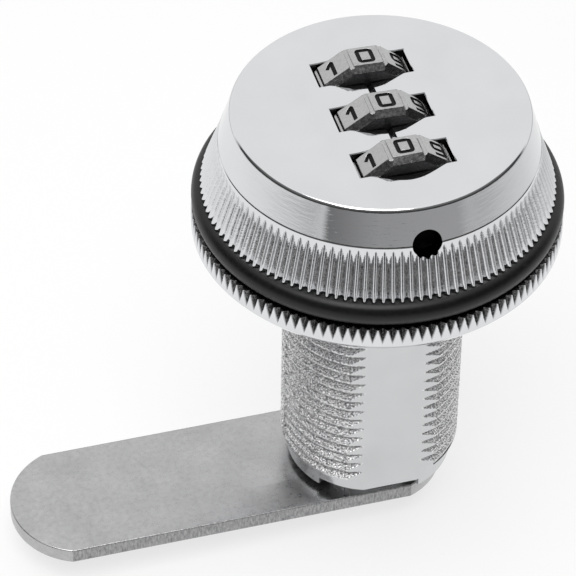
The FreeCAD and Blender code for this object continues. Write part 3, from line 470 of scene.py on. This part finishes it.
def window_edges(x):
    """Distances from the wheel's middle: near edge in the face, near wall under it, far edge, far wall.

    The near edge is scooped for a finger. The far wall leaves room for the code hub's disc and
    its push.
    """
    share = window_share(x)
    near_edge = WINDOW_NEAR + 1.67 * share ** 1.25
    near_wall = WINDOW_NEAR + 0.5 * share
    far_edge = WINDOW_FAR + 0.35 * share
    far_wall = WINDOW_FAR + 1.65 * (2.4 * share).clip(0, 1)
    return near_edge, near_wall, far_edge, far_wall


def pocket_loop():
    """One pocket's outline, anticlockwise from the near side's left end.

    Returns the share of the half-length, the side (0 near, 1 right, 2 far, 3 left) and, from -1
    to 1, the place between the near and the far side.
    """
    slopes = [-GROOVE_HALF, -GROOVE_HALF / 2, GROOVE_HALF / 2, GROOVE_HALF]
    side = np.union1d(np.linspace(-1, 1, 49), [x / WINDOW_HALF_LENGTH for x in slopes])
    end = np.linspace(-1, 1, 9)[1:-1]
    share = np.concatenate([side, np.ones(len(end)), side[::-1], -np.ones(len(end))])
    part = np.repeat([0, 1, 2, 3], [len(side), len(end), len(side), len(end)])
    across = np.concatenate([-np.ones(len(side)), end, np.ones(len(side)), end[::-1]])
    return share, part, across


def pocket_row(place, share, part, across, reach, inner):
    """Plane points of a pocket's outline; inner chooses the wall under the near side's slope."""
    x = share * reach
    near, near_wall, far, far_wall = window_edges(share * WINDOW_HALF_LENGTH)
    y = np.where(part == 0, -(near_wall if inner else near), far_wall if inner else far)
    y = np.where(part % 2 == 1, np.interp(across, [-1, 1], [-WINDOW_NEAR, WINDOW_FAR]), y)
    return np.stack([x, place + y], axis=1)


def filled(shell, loops, slot=0):
    """Fills the plane between closed loops of points, the outermost first."""
    triangles = tessellate_polygon([np.array(loop).tolist() for loop in loops])
    shell.add(np.concatenate(loops), [list(corners) for corners in triangles], slot)


def pocket_rows(number):
    """One pocket's rows of points from the face down to the ceiling, its sides and its places along x.

    Two rows make the eased edge, and the third is the foot of the near side's scoop. The ends
    widen with the wheel, so they keep their distance from the axle. The index groove lowers the
    rows where it crosses a bridge.
    """
    share, part, across = pocket_loop()
    bridged = ((part == 0) & (number != 3)) | ((part == 2) & (number != 1))
    x = share * WINDOW_HALF_LENGTH
    drop = np.where(bridged, np.maximum(GROOVE_HALF - np.abs(x), 0), 0)
    top = KNOB_TOP - drop * GROOVE_DEPTH / GROOVE_HALF
    place = WHEEL_PLACES[number]
    edge = pocket_row(place, share, part, across, WINDOW_HALF_LENGTH, False)
    lip = offset_loop(edge, EDGE)
    shelf = top - EDGE - LEDGE - SCOOP_DROP * window_share(x) * (part == 0)
    rows = [np.column_stack([lip, top]), np.column_stack([edge, top - EDGE])]
    for z in (shelf, shelf * 0.5 + KNOB_CEILING * 0.5, np.full(len(top), KNOB_CEILING)):
        reach = np.sqrt(KNOB_TOP_REACH ** 2 - (z - AXLE_HEIGHT) ** 2)
        row = pocket_row(place, share, part, across, reach, True)
        rows.append(np.column_stack([row, z]))
    return rows, part, x


def make_knob():
    """Knob casting: knurled skirt, cone, rounded rim, face with three windows, and its inside.

    The face is filled between the rim and one outline, which runs up the windows' right sides
    and down their left ones, because the index groove joins the windows over the bridges.
    """
    shell = Shell()
    phases = np.array([-0.5, -0.44, -0.36, -0.28, -0.2, -0.13, -0.06,
                       0.0, 0.06, 0.13, 0.2, 0.28, 0.36, 0.44])
    angles = knurl_angles(KNURLS, phases)
    outside, depth = knob_outside(angles)
    rim = lathe(arc((16.972, 13.595), 0.68, 16, 50, 7) + arc((17.178, 13.84), 0.36, 56, 90, 5), angles)
    shell.add_grid(outside, wrap=True, mark=depth)
    shell.add_grid(np.concatenate([outside[-1:], rim]), wrap=True)
    inside = lathe([(18.9, KNOB_FOOT), (16.2, KNOB_CEILING)], angles)
    # the knob's inside takes the painted shade
    shell.add_grid(np.concatenate([inside[::-1], outside[:1]]), wrap=True, slot=1)

    # pockets, each with an eased edge
    loops, low_loops = {}, []
    for number in WHEEL_PLACES:
        rows, part, x = pocket_rows(number)
        shell.add_grid(np.stack(rows[:2]), wrap=True)
        # the pocket walls below the eased edge take the painted shade
        shell.add_grid(np.stack(rows[1:]), wrap=True, slot=1)
        loops[number] = (rows[0], part, x)
        low_loops.append(rows[-1])

    def side(number, wanted, low=-ANYWHERE, high=ANYWHERE):
        """A pocket's edge points on one side, from low to high in x."""
        points, part, x = loops[number]
        return points[(part == wanted) & (x > low - 1e-6) & (x < high + 1e-6)]

    # the face: outline of the three windows as one, and the index groove's floor on each bridge
    outline = [side(3, 0), side(3, 1)]
    for near, far in ((3, 2), (2, 1)):
        outline += [side(near, 2, GROOVE_HALF), side(far, 0, GROOVE_HALF), side(far, 1)]
    outline += [side(1, 2), side(1, 3)]
    for far, near in ((1, 2), (2, 3)):
        outline += [side(far, 0, high=-GROOVE_HALF), side(near, 2, high=-GROOVE_HALF), side(near, 3)]
    filled(shell, [rim[-1], np.concatenate(outline)])
    for near, far in ((3, 2), (2, 1)):
        lower = side(near, 2, -GROOVE_HALF, GROOVE_HALF)[::-1]
        upper = side(far, 0, -GROOVE_HALF, GROOVE_HALF)
        shell.add_grid(np.stack([lower, upper]))
    # the ceiling round the pockets takes the painted shade
    filled(shell, [inside[-1]] + low_loops, slot=1)
    piece = shell.build("knob_casting", [chrome, painted_shade_hollow], sharp=28, mark_name="groove")
    cut_with(piece, side_hole_tool())
    finish_piece(piece, "knob", "chrome_cast", "knob_shell")


def side_hole_tool():
    """Drill shape for the code-change hole, a little wider at its mouth."""
    tool = Shell()
    profile = [(0, -22.0), (2.14, -22.0), (1.75, -18.6), (1.75, -15.0), (0, -15.0)]
    tool.add_grid(along_axle(lathe(profile, around(48)), 0), wrap=True)
    return tool.build("side_hole_tool", [wheel_chrome])


def cut_with(piece, tool):
    """Subtracts the tool, whose parts may overlap, from the piece and deletes the tool."""
    cutter = piece.modifiers.new("cut", "BOOLEAN")
    cutter.operation = "DIFFERENCE"
    cutter.solver = "EXACT"
    cutter.use_self = True
    cutter.object = tool
    depsgraph = bpy.context.evaluated_depsgraph_get()
    mesh = bpy.data.meshes.new_from_object(piece.evaluated_get(depsgraph))
    piece.modifiers.clear()
    piece.data = mesh
    mesh.set_sharp_from_angle(angle=math.radians(28))
    bpy.data.objects.remove(tool)


make_knob()


# Number wheels

FACETS, APOTHEM, FACET_HALF = 10, 6.4, 1.55
BEVEL_APOTHEM, BEVEL_HALF, FACET_TURN = 5.65, 2.3, 360 / FACETS
WHEEL_BORE, NOTCH, PAST_WHEEL = 3.6, 0.32, 3
STROKE, DIGIT_DEPTH = 0.48, 0.16
# the photographed 1 stands left of its facet's middle and the 9 right of it
DIGIT_SHIFTS = {1: -0.2, 9: 0.5}

# each stroke is closed or not and has its corners, on a squarish frame with half-width 0.8 and
# half-height 0.97
DIGITS = {
    0: [(True, [(-0.81, -0.97), (0.81, -0.97), (0.81, 0.97), (-0.81, 0.97)])],
    1: [(False, [(-0.6, 0.25), (0.14, 1.12), (0.14, -1.24)])],
    2: [(False, [(-0.8, 0.5), (-0.8, 0.97), (0.8, 0.97), (0.8, 0.0), (-0.8, -0.97), (1.0, -0.97)])],
    3: [(False, [(-0.8, 0.97), (0.8, 0.97), (0.8, -0.97), (-0.8, -0.97)]),
        (False, [(-0.35, 0.0), (0.8, 0.0)])],
    4: [(False, [(-0.35, 1.2), (-0.8, -0.34), (1.0, -0.34)]), (False, [(0.42, 0.45), (0.42, -1.2)])],
    5: [(False, [(0.9, 0.97), (-0.7, 0.97), (-0.7, 0.1), (0.8, 0.1), (0.8, -0.97), (-0.9, -0.97)])],
    6: [(True, [(-0.8, -0.97), (0.8, -0.97), (0.8, 0.1), (-0.8, 0.1)]),
        (False, [(-0.8, 0.0), (-0.8, 0.97), (0.72, 0.97)])],
    7: [(False, [(-0.9, 0.97), (0.8, 0.97), (-0.15, -1.2)])],
    8: [(True, [(-0.74, 0.05), (0.74, 0.05), (0.74, 0.97), (-0.74, 0.97)]),
        (True, [(-0.8, -0.97), (0.8, -0.97), (0.8, 0.05), (-0.8, 0.05)])],
    9: [(True, [(-0.8, -0.1), (0.8, -0.1), (0.8, 0.97), (-0.8, 0.97)]),
        (False, [(0.8, 0.0), (0.8, -0.97), (-0.75, -0.97)])],
}


def rounded_path(corners, closed, radius=0.3, steps=4):
    """The corners with each inner one rounded by a quadratic curve, tangent to both sides.

    A curve takes up at most 0.45 of a side, so two of them never meet.
    """
    corners = np.array(corners, float)
    path = []
    for number, corner in enumerate(corners):
        if not closed and number in (0, len(corners) - 1):
            path.append(corner)
            continue
        before = corners[number - 1] - corner
        after = corners[(number + 1) % len(corners)] - corner
        lengths = np.linalg.norm(before), np.linalg.norm(after)
        before, after = before / lengths[0], after / lengths[1]
        half = math.acos(np.clip(before @ after, -1, 1)) / 2
        reach = min(radius / math.tan(half), lengths[0] * 0.45, lengths[1] * 0.45)
        start, end = corner + before * reach, corner + after * reach
        for share in np.linspace(0, 1, steps + 1):
            # the curve runs from start to end with the corner as its handle
            path.append((1 - share) ** 2 * start + 2 * share * (1 - share) * corner
                        + share ** 2 * end)
    return np.array(path)


def stroke_rings(corners, closed, low, high):
    """Rectangular section carried along a path: four points per ring, (u, v, height)."""
    path = rounded_path(corners, closed)
    if closed:
        ahead = np.roll(path, -1, axis=0) - np.roll(path, 1, axis=0)
    else:
        ahead = np.gradient(path, axis=0)
    ahead /= np.linalg.norm(ahead, axis=1, keepdims=True)
    side = np.stack([-ahead[:, 1], ahead[:, 0]], axis=1) * STROKE / 2
    left, right = path + side, path - side
    rings = [np.column_stack([points, np.full(len(path), height)])
             for points, height in ((left, low), (right, low), (right, high), (left, high))]
    return np.stack(rings, axis=1)


def rod(radius, count):
    """Solid rod that sticks out of both sides of a wheel, to cut it with."""
    profile = [(0, -PAST_WHEEL), (radius, -PAST_WHEEL), (radius, PAST_WHEEL), (0, PAST_WHEEL)]
    return lathe(profile, around(count))


def turn_about_axle(points, degrees, place):
    """Turns (u, v, height) points of the top facet about the axle and moves them to the wheel."""
    angle = math.radians(degrees)
    x, y, z = points[..., 0], points[..., 1], points[..., 2]
    return np.stack([x * math.cos(angle) + z * math.sin(angle), y + place,
                     -x * math.sin(angle) + z * math.cos(angle) + AXLE_HEIGHT], axis=-1)


def make_wheel(number):
    """Number wheel: a ten-sided drum with bevelled rims, bored, notched at its corners, engraved."""
    place, start = WHEEL_PLACES[number], WHEEL_TURNS[number]
    corner = 1 / math.cos(math.pi / FACETS)
    blank = Shell()
    turn = (np.arange(FACETS) + 0.5) * math.pi / (FACETS / 2) + math.radians(start)
    radius = np.array([BEVEL_APOTHEM, APOTHEM, APOTHEM, BEVEL_APOTHEM])[:, None] * corner
    across = np.array([-BEVEL_HALF, -FACET_HALF, FACET_HALF, BEVEL_HALF])[:, None]
    grid = np.stack(np.broadcast_arrays(radius * np.sin(turn), across + place,
                                        radius * np.cos(turn) + AXLE_HEIGHT), axis=-1)
    blank.add_grid(grid[1:3], wrap=True)
    # the bevels take the painted shade
    blank.add_grid(grid[:2], wrap=True, slot=3)
    blank.add_grid(grid[2:], wrap=True, slot=3)
    # the wheel's flat ends take the painted shade
    for end in (grid[0], grid[3]):
        blank.add(end, [list(range(FACETS))], slot=2)
    piece = blank.build("dial_%d" % number, [wheel_chrome, paint, painted_shade_hollow, shaded_bevel_chrome], sharp=20)

    tool = Shell()
    tool.add_grid(along_axle(rod(WHEEL_BORE, 64), place), wrap=True)
    notch = rod(NOTCH, 20)[..., [0, 2, 1]] + [0, 0, APOTHEM * corner]
    for facet in range(FACETS):
        degrees = (facet + 0.5) * FACET_TURN + start
        tool.add_grid(turn_about_axle(notch, degrees, place), wrap=True)
    for digit, strokes in DIGITS.items():
        for closed, corners in strokes:
            rings = stroke_rings(corners, closed, APOTHEM - DIGIT_DEPTH, APOTHEM + 0.5)
            rings[..., 0] += DIGIT_SHIFTS.get(digit, 0)
            rings = turn_about_axle(rings, start - FACET_TURN * digit, place)
            if closed:
                rings = np.concatenate([rings, rings[:1]])
            tool.add_grid(rings, wrap=True, slot=1)
            if not closed:
                for end in (rings[0], rings[-1]):
                    tool.add(end, [[0, 1, 2, 3]], slot=1)
    cut_with(piece, tool.build("wheel_tool_%d" % number, [wheel_chrome, paint]))
    eased = piece.modifiers.new("eased_edges", "BEVEL")
    eased.width = 0.04 * MM
    eased.segments = 2
    eased.limit_method = "ANGLE"
    eased.angle_limit = math.radians(30)
    eased.use_clamp_overlap = False
    piece.data.polygons.foreach_set("use_smooth", np.ones(len(piece.data.polygons), bool))
    piece.data.set_sharp_from_angle(angle=math.radians(25))
    finish_piece(piece, "dial_%d" % number, "wheel", "number_wheel_%d" % number)


for wheel_number in WHEEL_PLACES:
    make_wheel(wheel_number)


# Sealing ring and ring nut

SEAL_BORE, SEAL_LIP, SEAL_WEB, SEAL_TOP = 11.3, 19.7, 0.8, 3.0
NUT_RADIUS, NUT_BORE, NUT_TOP, NUT_FOOT = 22.04, 11.05, -0.3, -3.6


def make_sealing_ring():
    """Rubber ring under the knob: L section with a rounded outer side, turned about the axis."""
    bulge = arc((20.16, 1.5), 1.84, -52, 48, 17)
    profile = ([(SEAL_BORE, 0.0), (20.9, 0.0), (21.1, 0.05)] + bulge[1:-1]
               + [(21.2, 2.95), (21.0, SEAL_TOP), (SEAL_LIP, SEAL_TOP), (SEAL_LIP, SEAL_WEB),
                  (SEAL_BORE, SEAL_WEB), (SEAL_BORE, 0.0)])
    shell = Shell()
    shell.add_grid(lathe(profile, around(288)), wrap=True)
    piece = shell.build("moulded_seal", [rubber], sharp=50)
    finish_piece(piece, "barrel", "rubber", "sealing_ring")


def make_ring_nut():
    """Disc with V grooves that grow shallower downward and run out above the bevel."""
    phases = np.array([-0.5, -0.46, -0.36, -0.22, -0.1, -0.04, 0.0, 0.04, 0.1, 0.22, 0.36, 0.46])
    angles = knurl_angles(KNURLS, phases)
    rows = [(NUT_BORE, NUT_TOP), (21.0, NUT_TOP), (21.95, NUT_TOP), (22.01, -0.33), (NUT_RADIUS, -0.4)]
    rows += [(NUT_RADIUS, z) for z in np.linspace(-0.8, -2.65, 9)]
    rows += [(NUT_RADIUS - 0.69 * t, -2.7 - 0.9 * t) for t in np.linspace(0, 1, 11)]
    rows += [(21.2, NUT_FOOT), (NUT_BORE, NUT_FOOT), (NUT_BORE, NUT_TOP)]
    crest, height = np.array(rows).T[:, :, None]
    floor = np.interp(-height, [0.4, 2.6], [21.45, NUT_RADIUS])
    radius = groove_radius(crest, floor, angles[None], KNURLS)
    # the nut's faces inside the grooves stay plain
    radius = np.where(crest < 21.5, crest, radius)
    depth = np.where(crest < 21.3, 0, crest - radius)
    shell = Shell()
    shell.add_grid(turned(radius, height, angles), wrap=True, mark=depth)
    piece = shell.build("knurled_nut", [groove_shaded_nut_chrome], sharp=28, mark_name="groove")
    finish_piece(piece, "nut", "nut", "ring_nut")


make_sealing_ring()
make_ring_nut()


# Barrel

PITCH, CREST, ROOT, FLAT = 1.5, 11.0, 10.2, 9.5
THREAD_TOP, THREAD_END, V_HALF = 0.8, -36.6, 0.55
# a groove's middle passes this height at this angle, as in the photograph
GROOVE_HEIGHT, GROOVE_ANGLE = -14.5, -111.3
ROUGH_TOP, ROUGH_END, SANDY_END, CAST_GRAIN = 0.7, -36.3, -36.4, 0.012
COLLAR_EDGE, COLLAR_END = -38.6, -38.7
BARREL_BORE, FLANGE_RADIUS, FLANGE_TOP = 6.05, 19.6, 2.4
# start and sweep of each lug
LUGS = ((155, 62), (291, 94))


def thread_radius(angle, z):
    """Crest less a 60 degree V with a narrow floor, once a pitch along the helix.

    The V fades out over the thread's last half millimetre.
    """
    place = (z - GROOVE_HEIGHT) / PITCH - (np.degrees(angle) - GROOVE_ANGLE) / 360
    across = np.abs(place - np.round(place)) * PITCH
    depth = np.clip((V_HALF - across) / math.tan(math.radians(30)), 0, CREST - ROOT)
    fade = np.clip((z - THREAD_END) / 0.5, 0, 1)
    return CREST - depth * fade


def flat_radius(angles):
    """Radius at which a point lies on one of the two flats, half their distance over the sine."""
    return FLAT / np.maximum(np.abs(np.sin(angles)), 1e-6)


def barrel_angles():
    """Angles close together where crest and root run into the flats, wide apart elsewhere.

    The close ones are about 0.1 mm apart along x, from 5.8 to 3.4 mm on a radius of 10.9 mm.
    """
    edges = np.degrees(np.arccos(np.linspace(5.8, 3.4, 26) / 10.9))
    round_side = np.linspace(0, edges[0], 30)[:-1]
    flat_side = np.linspace(edges[-1], 90, 8)[1:]
    quarter = np.concatenate([round_side, edges, flat_side])
    half = np.concatenate([quarter, 180 - quarter[::-1][1:]])
    return np.radians(np.concatenate([half, half[1:-1] + 180]))


def make_barrel():
    """Barrel casting: threaded shank with two flats, collar, bore and flange.

    The shank's rows of points lean with the helix. Its cast surface is rough on the thread, and
    the flats are smooth.
    """
    generator = np.random.default_rng(7)
    angles = barrel_angles()
    rows = np.arange(THREAD_TOP + PITCH, THREAD_END - 0.1 - PITCH, -PITCH / 14)
    lean = PITCH * (((np.degrees(angles) + 180) % 360) / 360 - 0.5)
    z = np.clip(rows[:, None] + lean[None], THREAD_END, THREAD_TOP)
    radius = thread_radius(angles[None], z)
    rough = generator.normal(0, CAST_GRAIN, radius.shape)
    radius = radius + np.where((z < ROUGH_TOP) & (z > ROUGH_END), rough, 0)
    flat = flat_radius(angles)[None]
    sandy = ((flat > radius - 0.01) & (z > SANDY_END)).astype(float)
    shank = turned(np.minimum(radius, flat), z, angles)
    shell = Shell()
    shell.add_grid(shank, wrap=True, mark=sandy)

    # the collar below the thread, with the flats carried on, and the bore and flange
    profile = np.array([(CREST, THREAD_END), (10.95, -36.65), (ROOT, -36.85), (ROOT, COLLAR_EDGE),
                        (10.1, COLLAR_END)])
    collar = turned(np.minimum(profile[:, :1], flat), profile[:, 1:], angles)
    shell.add_grid(collar, wrap=True)
    inner = lathe([(BARREL_BORE, COLLAR_END), (BARREL_BORE, FLANGE_TOP), (FLANGE_RADIUS, FLANGE_TOP),
                   (FLANGE_RADIUS, THREAD_TOP)], angles)
    shell.add_grid(np.concatenate([collar[-1:], inner, shank[:1]]), wrap=True)
    piece = shell.build("barrel_casting", [casting], sharp=32, mark_name="sandy")
    add_lugs(piece)
    finish_piece(piece, "barrel", "barrel", "barrel")


def add_lugs(piece):
    """Two raised arcs under the collar, cut off by the flats like the rest."""
    shell = Shell()
    profile = np.array([(8.4, COLLAR_EDGE), (8.4, -39.6), (8.5, -39.7), (10.1, -39.7), (ROOT, -39.6),
                        (ROOT, COLLAR_EDGE), (8.4, COLLAR_EDGE)])
    for start, sweep in LUGS:
        angles = np.radians(np.linspace(start, start + sweep, 40))
        grid = turned(np.minimum(profile[:, :1], flat_radius(angles)), profile[:, 1:], angles)
        shell.add_grid(grid)
        for end in (grid[:-1, 0], grid[:-1, -1]):
            shell.add(end, [list(range(len(end)))])
    lugs = shell.build("stop_lugs", [casting], sharp=32, mark_name="sandy")
    form = bmesh.new()
    form.from_mesh(piece.data)
    form.from_mesh(lugs.data)
    form.to_mesh(piece.data)
    form.free()
    bpy.data.objects.remove(lugs)


make_barrel()


# Cam

CAM_TOP, CAM_BOTTOM, CAM_HALF, CAM_ROUND = -40.6, -42.6, 8.5, 0.18
TIP_CENTRE, TIP_RADIUS, REAR_RADIUS, ARC_POINTS = -36.5, 9.2, 9.05, 49
SQUARE_HALF = 3.55


def cam_outline(inset):
    """A wide arc at the tip and one behind the barrel, joined by the two straight sides.

    Each straight side runs from an arc's last point to the other arc's first one.
    """
    half = CAM_HALF - inset
    tip, rear = TIP_RADIUS - inset, REAR_RADIUS - inset
    tip_half = math.degrees(math.asin(half / tip))
    rear_half = math.degrees(math.asin(half / rear))
    points = arc((TIP_CENTRE, 0), tip, 180 - tip_half, 180 + tip_half, ARC_POINTS)
    points += arc((0, 0), rear, -rear_half, rear_half, ARC_POINTS)
    return np.array(points)


def make_cam():
    """Pressed bar: eased upper and lower edges, a square hole, and sheared straight sides."""
    shell = Shell()
    eased = arc((0, CAM_ROUND), CAM_ROUND, -90, 0, 5)
    levels = [(CAM_ROUND - x, CAM_BOTTOM + y) for x, y in eased]
    levels += [(CAM_ROUND - x, CAM_TOP - y) for x, y in eased[::-1]]
    grid = np.stack([np.column_stack([cam_outline(inset), np.full(2 * ARC_POINTS, z)])
                     for inset, z in levels])
    shell.add_grid(grid, wrap=True)
    straight = np.isin(np.arange(2 * ARC_POINTS), (ARC_POINTS - 1, 2 * ARC_POINTS - 1))
    # the faces of the straight sides are sheared
    shell.slots = np.tile(straight, len(grid) - 1).astype(int).tolist()
    square = np.array([(-1, -1), (1, -1), (1, 1), (-1, 1)]) * SQUARE_HALF
    hole = np.stack([np.column_stack([square, np.full(4, z)]) for z in (CAM_BOTTOM, CAM_TOP)])
    shell.add_grid(hole, wrap=True)
    for edge, inner in ((grid[0], hole[0]), (grid[-1], hole[1])):
        filled(shell, [edge, inner])
    piece = shell.build("cam_plate", [plated_steel, sheared], sharp=35)
    finish_piece(piece, "knob", "zinc_steel", "cam")


make_cam()


# CAD nodes that are already the right shape get their finish

FINISHES = {
    "cam_washer": plated_steel, "cam_lock_washer": bright_steel,
    "cam_screw": plated_steel, "stop_disc": plated_steel, "wheel_carrier": inner_casting,
    "carrier_screws": bright_steel, "code_hub_1": brass, "code_hub_2": brass, "code_hub_3": brass,
    "wheel_axle": bright_steel, "axle_spring": bright_steel, "locking_bar": bright_steel,
    "locking_bar_spring": bright_steel, "detent_spring": bright_steel, "spindle_seal": rubber,
    "thrust_washer": nylon,
}
for node_name, finish in FINISHES.items():
    for material_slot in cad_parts[node_name].material_slots:
        material_slot.material = finish


# Floor, light and camera

FLOOR_HEIGHT, FLOOR_RADIUS, FLOOR_FRONT = -0.0464, 0.335, -0.172
FLOOR_SIDES, FLOOR_GLOW, CAM_TIP_PLACE = 180, 0.7, -0.045
# level directions in the photograph: straight toward the camera, and to the picture's right
TOWARD_CAMERA, TO_THE_RIGHT = (-0.283, -0.959, 0), (0.959, -0.283, 0)


def make_floor():
    """Plain white table top under the screw's head: round, with a straight front edge.

    The camera sees most of it as an even white. Its colour darkens from the cam's tip outward,
    a painted shade of light falling off, which reflections see. The rest is lit paper, which
    takes the object's shadow.
    """
    mesh = bpy.data.meshes.new("floor")
    rim = lathe([(FLOOR_RADIUS, FLOOR_HEIGHT)], around(FLOOR_SIDES))[0]
    rim[:, 1] = np.maximum(rim[:, 1], FLOOR_FRONT)
    mesh.from_pydata(rim, [], [list(range(FLOOR_SIDES))])
    material = bpy.data.materials.new("white_paper")
    material.use_nodes = True
    tree = material.node_tree
    tree.nodes.clear()
    place = add_node(tree, "ShaderNodeTexCoord").outputs["Object"]
    level = add_node(tree, "ShaderNodeVectorMath",
                     {"operation": "MULTIPLY_ADD", 1: (1, 1, 0), 2: (-CAM_TIP_PLACE, 0, 0)},
                     {0: place})
    away = add_node(tree, "ShaderNodeVectorMath", {"operation": "LENGTH"}, {0: level.outputs[0]})
    share = add_node(tree, "ShaderNodeMapRange", {2: FLOOR_RADIUS}, {0: away.outputs["Value"]})
    # painted shade: the table's colour darkens away from the cam's tip
    painted_falloff = [(0.3, "#f8f8f8"), (0.46, "#f0f0f0"), (0.62, "#dadada"), (0.78, "#b8b8b8")]
    shade = add_node(tree, "ShaderNodeValToRGB", {"stops": painted_falloff},
                     {"Fac": share.outputs[0]}).outputs["Color"]
    paper = add_node(tree, "ShaderNodeBsdfDiffuse", None, {"Color": shade})
    path = add_node(tree, "ShaderNodeLightPath").outputs
    # reflections see a glow in the painted shade's colour, and the camera sees plain white
    lit = add_node(tree, "ShaderNodeMix", {"data_type": "RGBA", 7: "#ffffff"},
                   {0: path["Is Camera Ray"], 6: shade})
    glow = add_node(tree, "ShaderNodeEmission", {"Strength": 1.0}, {"Color": lit.outputs[2]})
    mirrored = add_node(tree, "ShaderNodeMath", {"operation": "MAXIMUM"},
                        {0: path["Is Glossy Ray"], 1: path["Is Transmission Ray"]})
    either = add_node(tree, "ShaderNodeMath", {"operation": "MAXIMUM"},
                      {0: path["Is Camera Ray"], 1: mirrored.outputs[0]})
    seen = add_node(tree, "ShaderNodeMath", {"operation": "MULTIPLY", 1: FLOOR_GLOW},
                    {0: either.outputs[0]})
    mixed = add_node(tree, "ShaderNodeMixShader", None,
                     {0: seen.outputs[0], 1: paper.outputs[0], 2: glow.outputs[0]})
    add_node(tree, "ShaderNodeOutputMaterial", None, {"Surface": mixed.outputs[0]})
    mesh.materials.append(material)
    floor = bpy.data.objects.new("floor", mesh)
    scene.collection.objects.link(floor)


def make_world():
    """Studio surroundings, seen in reflections; the camera's own rays always see white.

    Below the table's edge is a grey front. From the table's height up to about 49 degrees the
    room is dark, lighter upward, but for the white wall behind the object. Above is white.
    """
    world = bpy.data.worlds.new("studio")
    scene.world = world
    world.use_nodes = True
    tree = world.node_tree
    tree.nodes.clear()
    direction = add_node(tree, "ShaderNodeTexCoord").outputs["Generated"]
    height = add_node(tree, "ShaderNodeSeparateXYZ", None, {0: direction}).outputs[2]
    level = add_node(tree, "ShaderNodeVectorMath", {"operation": "MULTIPLY", 1: (1, 1, 0)},
                     {0: direction})
    flat = add_node(tree, "ShaderNodeVectorMath", {"operation": "NORMALIZE"}, {0: level.outputs[0]})
    toward, aside = (add_node(tree, "ShaderNodeVectorMath", {"operation": "DOT_PRODUCT", 1: wanted},
                              {0: flat.outputs[0]}).outputs["Value"]
                     for wanted in (TOWARD_CAMERA, TO_THE_RIGHT))
    across = add_node(tree, "ShaderNodeMapRange", {1: -1.0}, {0: aside})
    behind = add_node(tree, "ShaderNodeMapRange", {1: -0.35, 2: -0.5}, {0: toward}).outputs[0]
    over_table = add_node(tree, "ShaderNodeMapRange", {1: -0.14, 2: -0.11}, {0: height})
    overhead = add_node(tree, "ShaderNodeMapRange", {1: 0.74, 2: 0.79}, {0: height})
    front, wall_foot, dark_room, wall, ceiling = (
        add_node(tree, "ShaderNodeValToRGB", {"stops": stops}, {"Fac": source}).outputs["Color"]
        for source, stops in (
            (across.outputs[0], [(0.2, "#d4d4d4"), (0.23, "#7c7c7c"), (0.3, "#868686"),
                                 (0.5, "#a0a0a0"), (0.9, "#a8a8a8"), (0.96, "#c8c8c8")]),
            (behind, [(0.0, "#e0e0e0"), (1.0, "#e8e8e8")]),
            (height, [(0.0, "#3a3a3a"), (0.25, "#484848"), (0.74, "#8c8c8c")]),
            (behind, [(0.0, "#f4f4f4"), (1.0, "#f8f8f8")]),
            (height, [(0.7, "#f4f4f4"), (1.0, "#ffffff")])))
    under, room = (
        add_node(tree, "ShaderNodeMix", {"data_type": "RGBA"}, {0: behind, 6: near, 7: far})
        for near, far in ((front, wall_foot), (dark_room, wall)))
    lower = add_node(tree, "ShaderNodeMix", {"data_type": "RGBA"},
                     {0: over_table.outputs[0], 6: under.outputs[2], 7: room.outputs[2]})
    mixed = add_node(tree, "ShaderNodeMix", {"data_type": "RGBA"},
                     {0: overhead.outputs[0], 6: lower.outputs[2], 7: ceiling})
    studio = add_node(tree, "ShaderNodeBackground", {"Strength": 1.0},
                      {"Color": mixed.outputs[2]})
    plain = add_node(tree, "ShaderNodeBackground", {"Color": (1, 1, 1, 1), "Strength": 1.0})
    path = add_node(tree, "ShaderNodeLightPath")
    choice = add_node(tree, "ShaderNodeMixShader", None,
                      {0: path.outputs["Is Camera Ray"], 1: studio.outputs[0], 2: plain.outputs[0]})
    add_node(tree, "ShaderNodeOutputWorld", None, {"Surface": choice.outputs[0]})


def axes_and_place(right, up, back, place):
    """World matrix of a thing that looks along -back."""
    return Matrix(np.column_stack([right, up, back, place]).tolist() + [[0, 0, 0, 1]])


def make_lamp(name, place, target, size, power):
    """Soft square lamp aimed at a point."""
    data = bpy.data.lights.new(name, "AREA")
    data.size = size
    data.energy = power
    lamp = bpy.data.objects.new(name, data)
    back = (np.array(place) - target) / np.linalg.norm(np.array(place) - target)
    right = np.cross([0.0, 1.0, 0.1], back)
    right /= np.linalg.norm(right)
    up = np.cross(back, right)
    lamp.matrix_world = axes_and_place(right, up, back, place)
    scene.collection.objects.link(lamp)


def make_camera():
    """The photograph's view: seen from the left front and above, with a long lens."""
    azimuth, elevation, roll = math.radians(-16.437), math.radians(43.017), math.radians(1.015)
    back = np.array([math.sin(azimuth) * math.cos(elevation),
                     -math.cos(azimuth) * math.cos(elevation), math.sin(elevation)])
    right = np.array([math.cos(azimuth), math.sin(azimuth), 0.0])
    up = np.cross(back, right)
    right, up = (math.cos(roll) * right + math.sin(roll) * up,
                 -math.sin(roll) * right + math.cos(roll) * up)
    target, distance = np.array([-10.798, 0.0, -11.464]), 449.5
    place = (target + back * distance) * MM
    data = bpy.data.cameras.new("camera")
    data.lens = 234.84
    data.sensor_width = 36.0
    data.clip_start, data.clip_end = 0.01, 20.0
    camera = bpy.data.objects.new("camera", data)
    camera.matrix_world = axes_and_place(right, up, back, place)
    scene.collection.objects.link(camera)
    scene.camera = camera


make_floor()
make_world()
make_lamp("overhead_softbox", place=(-0.2, -0.3, 0.9), target=(0, 0, 0), size=0.7, power=5.0)
make_camera()
scene.view_settings.view_transform = "Standard"
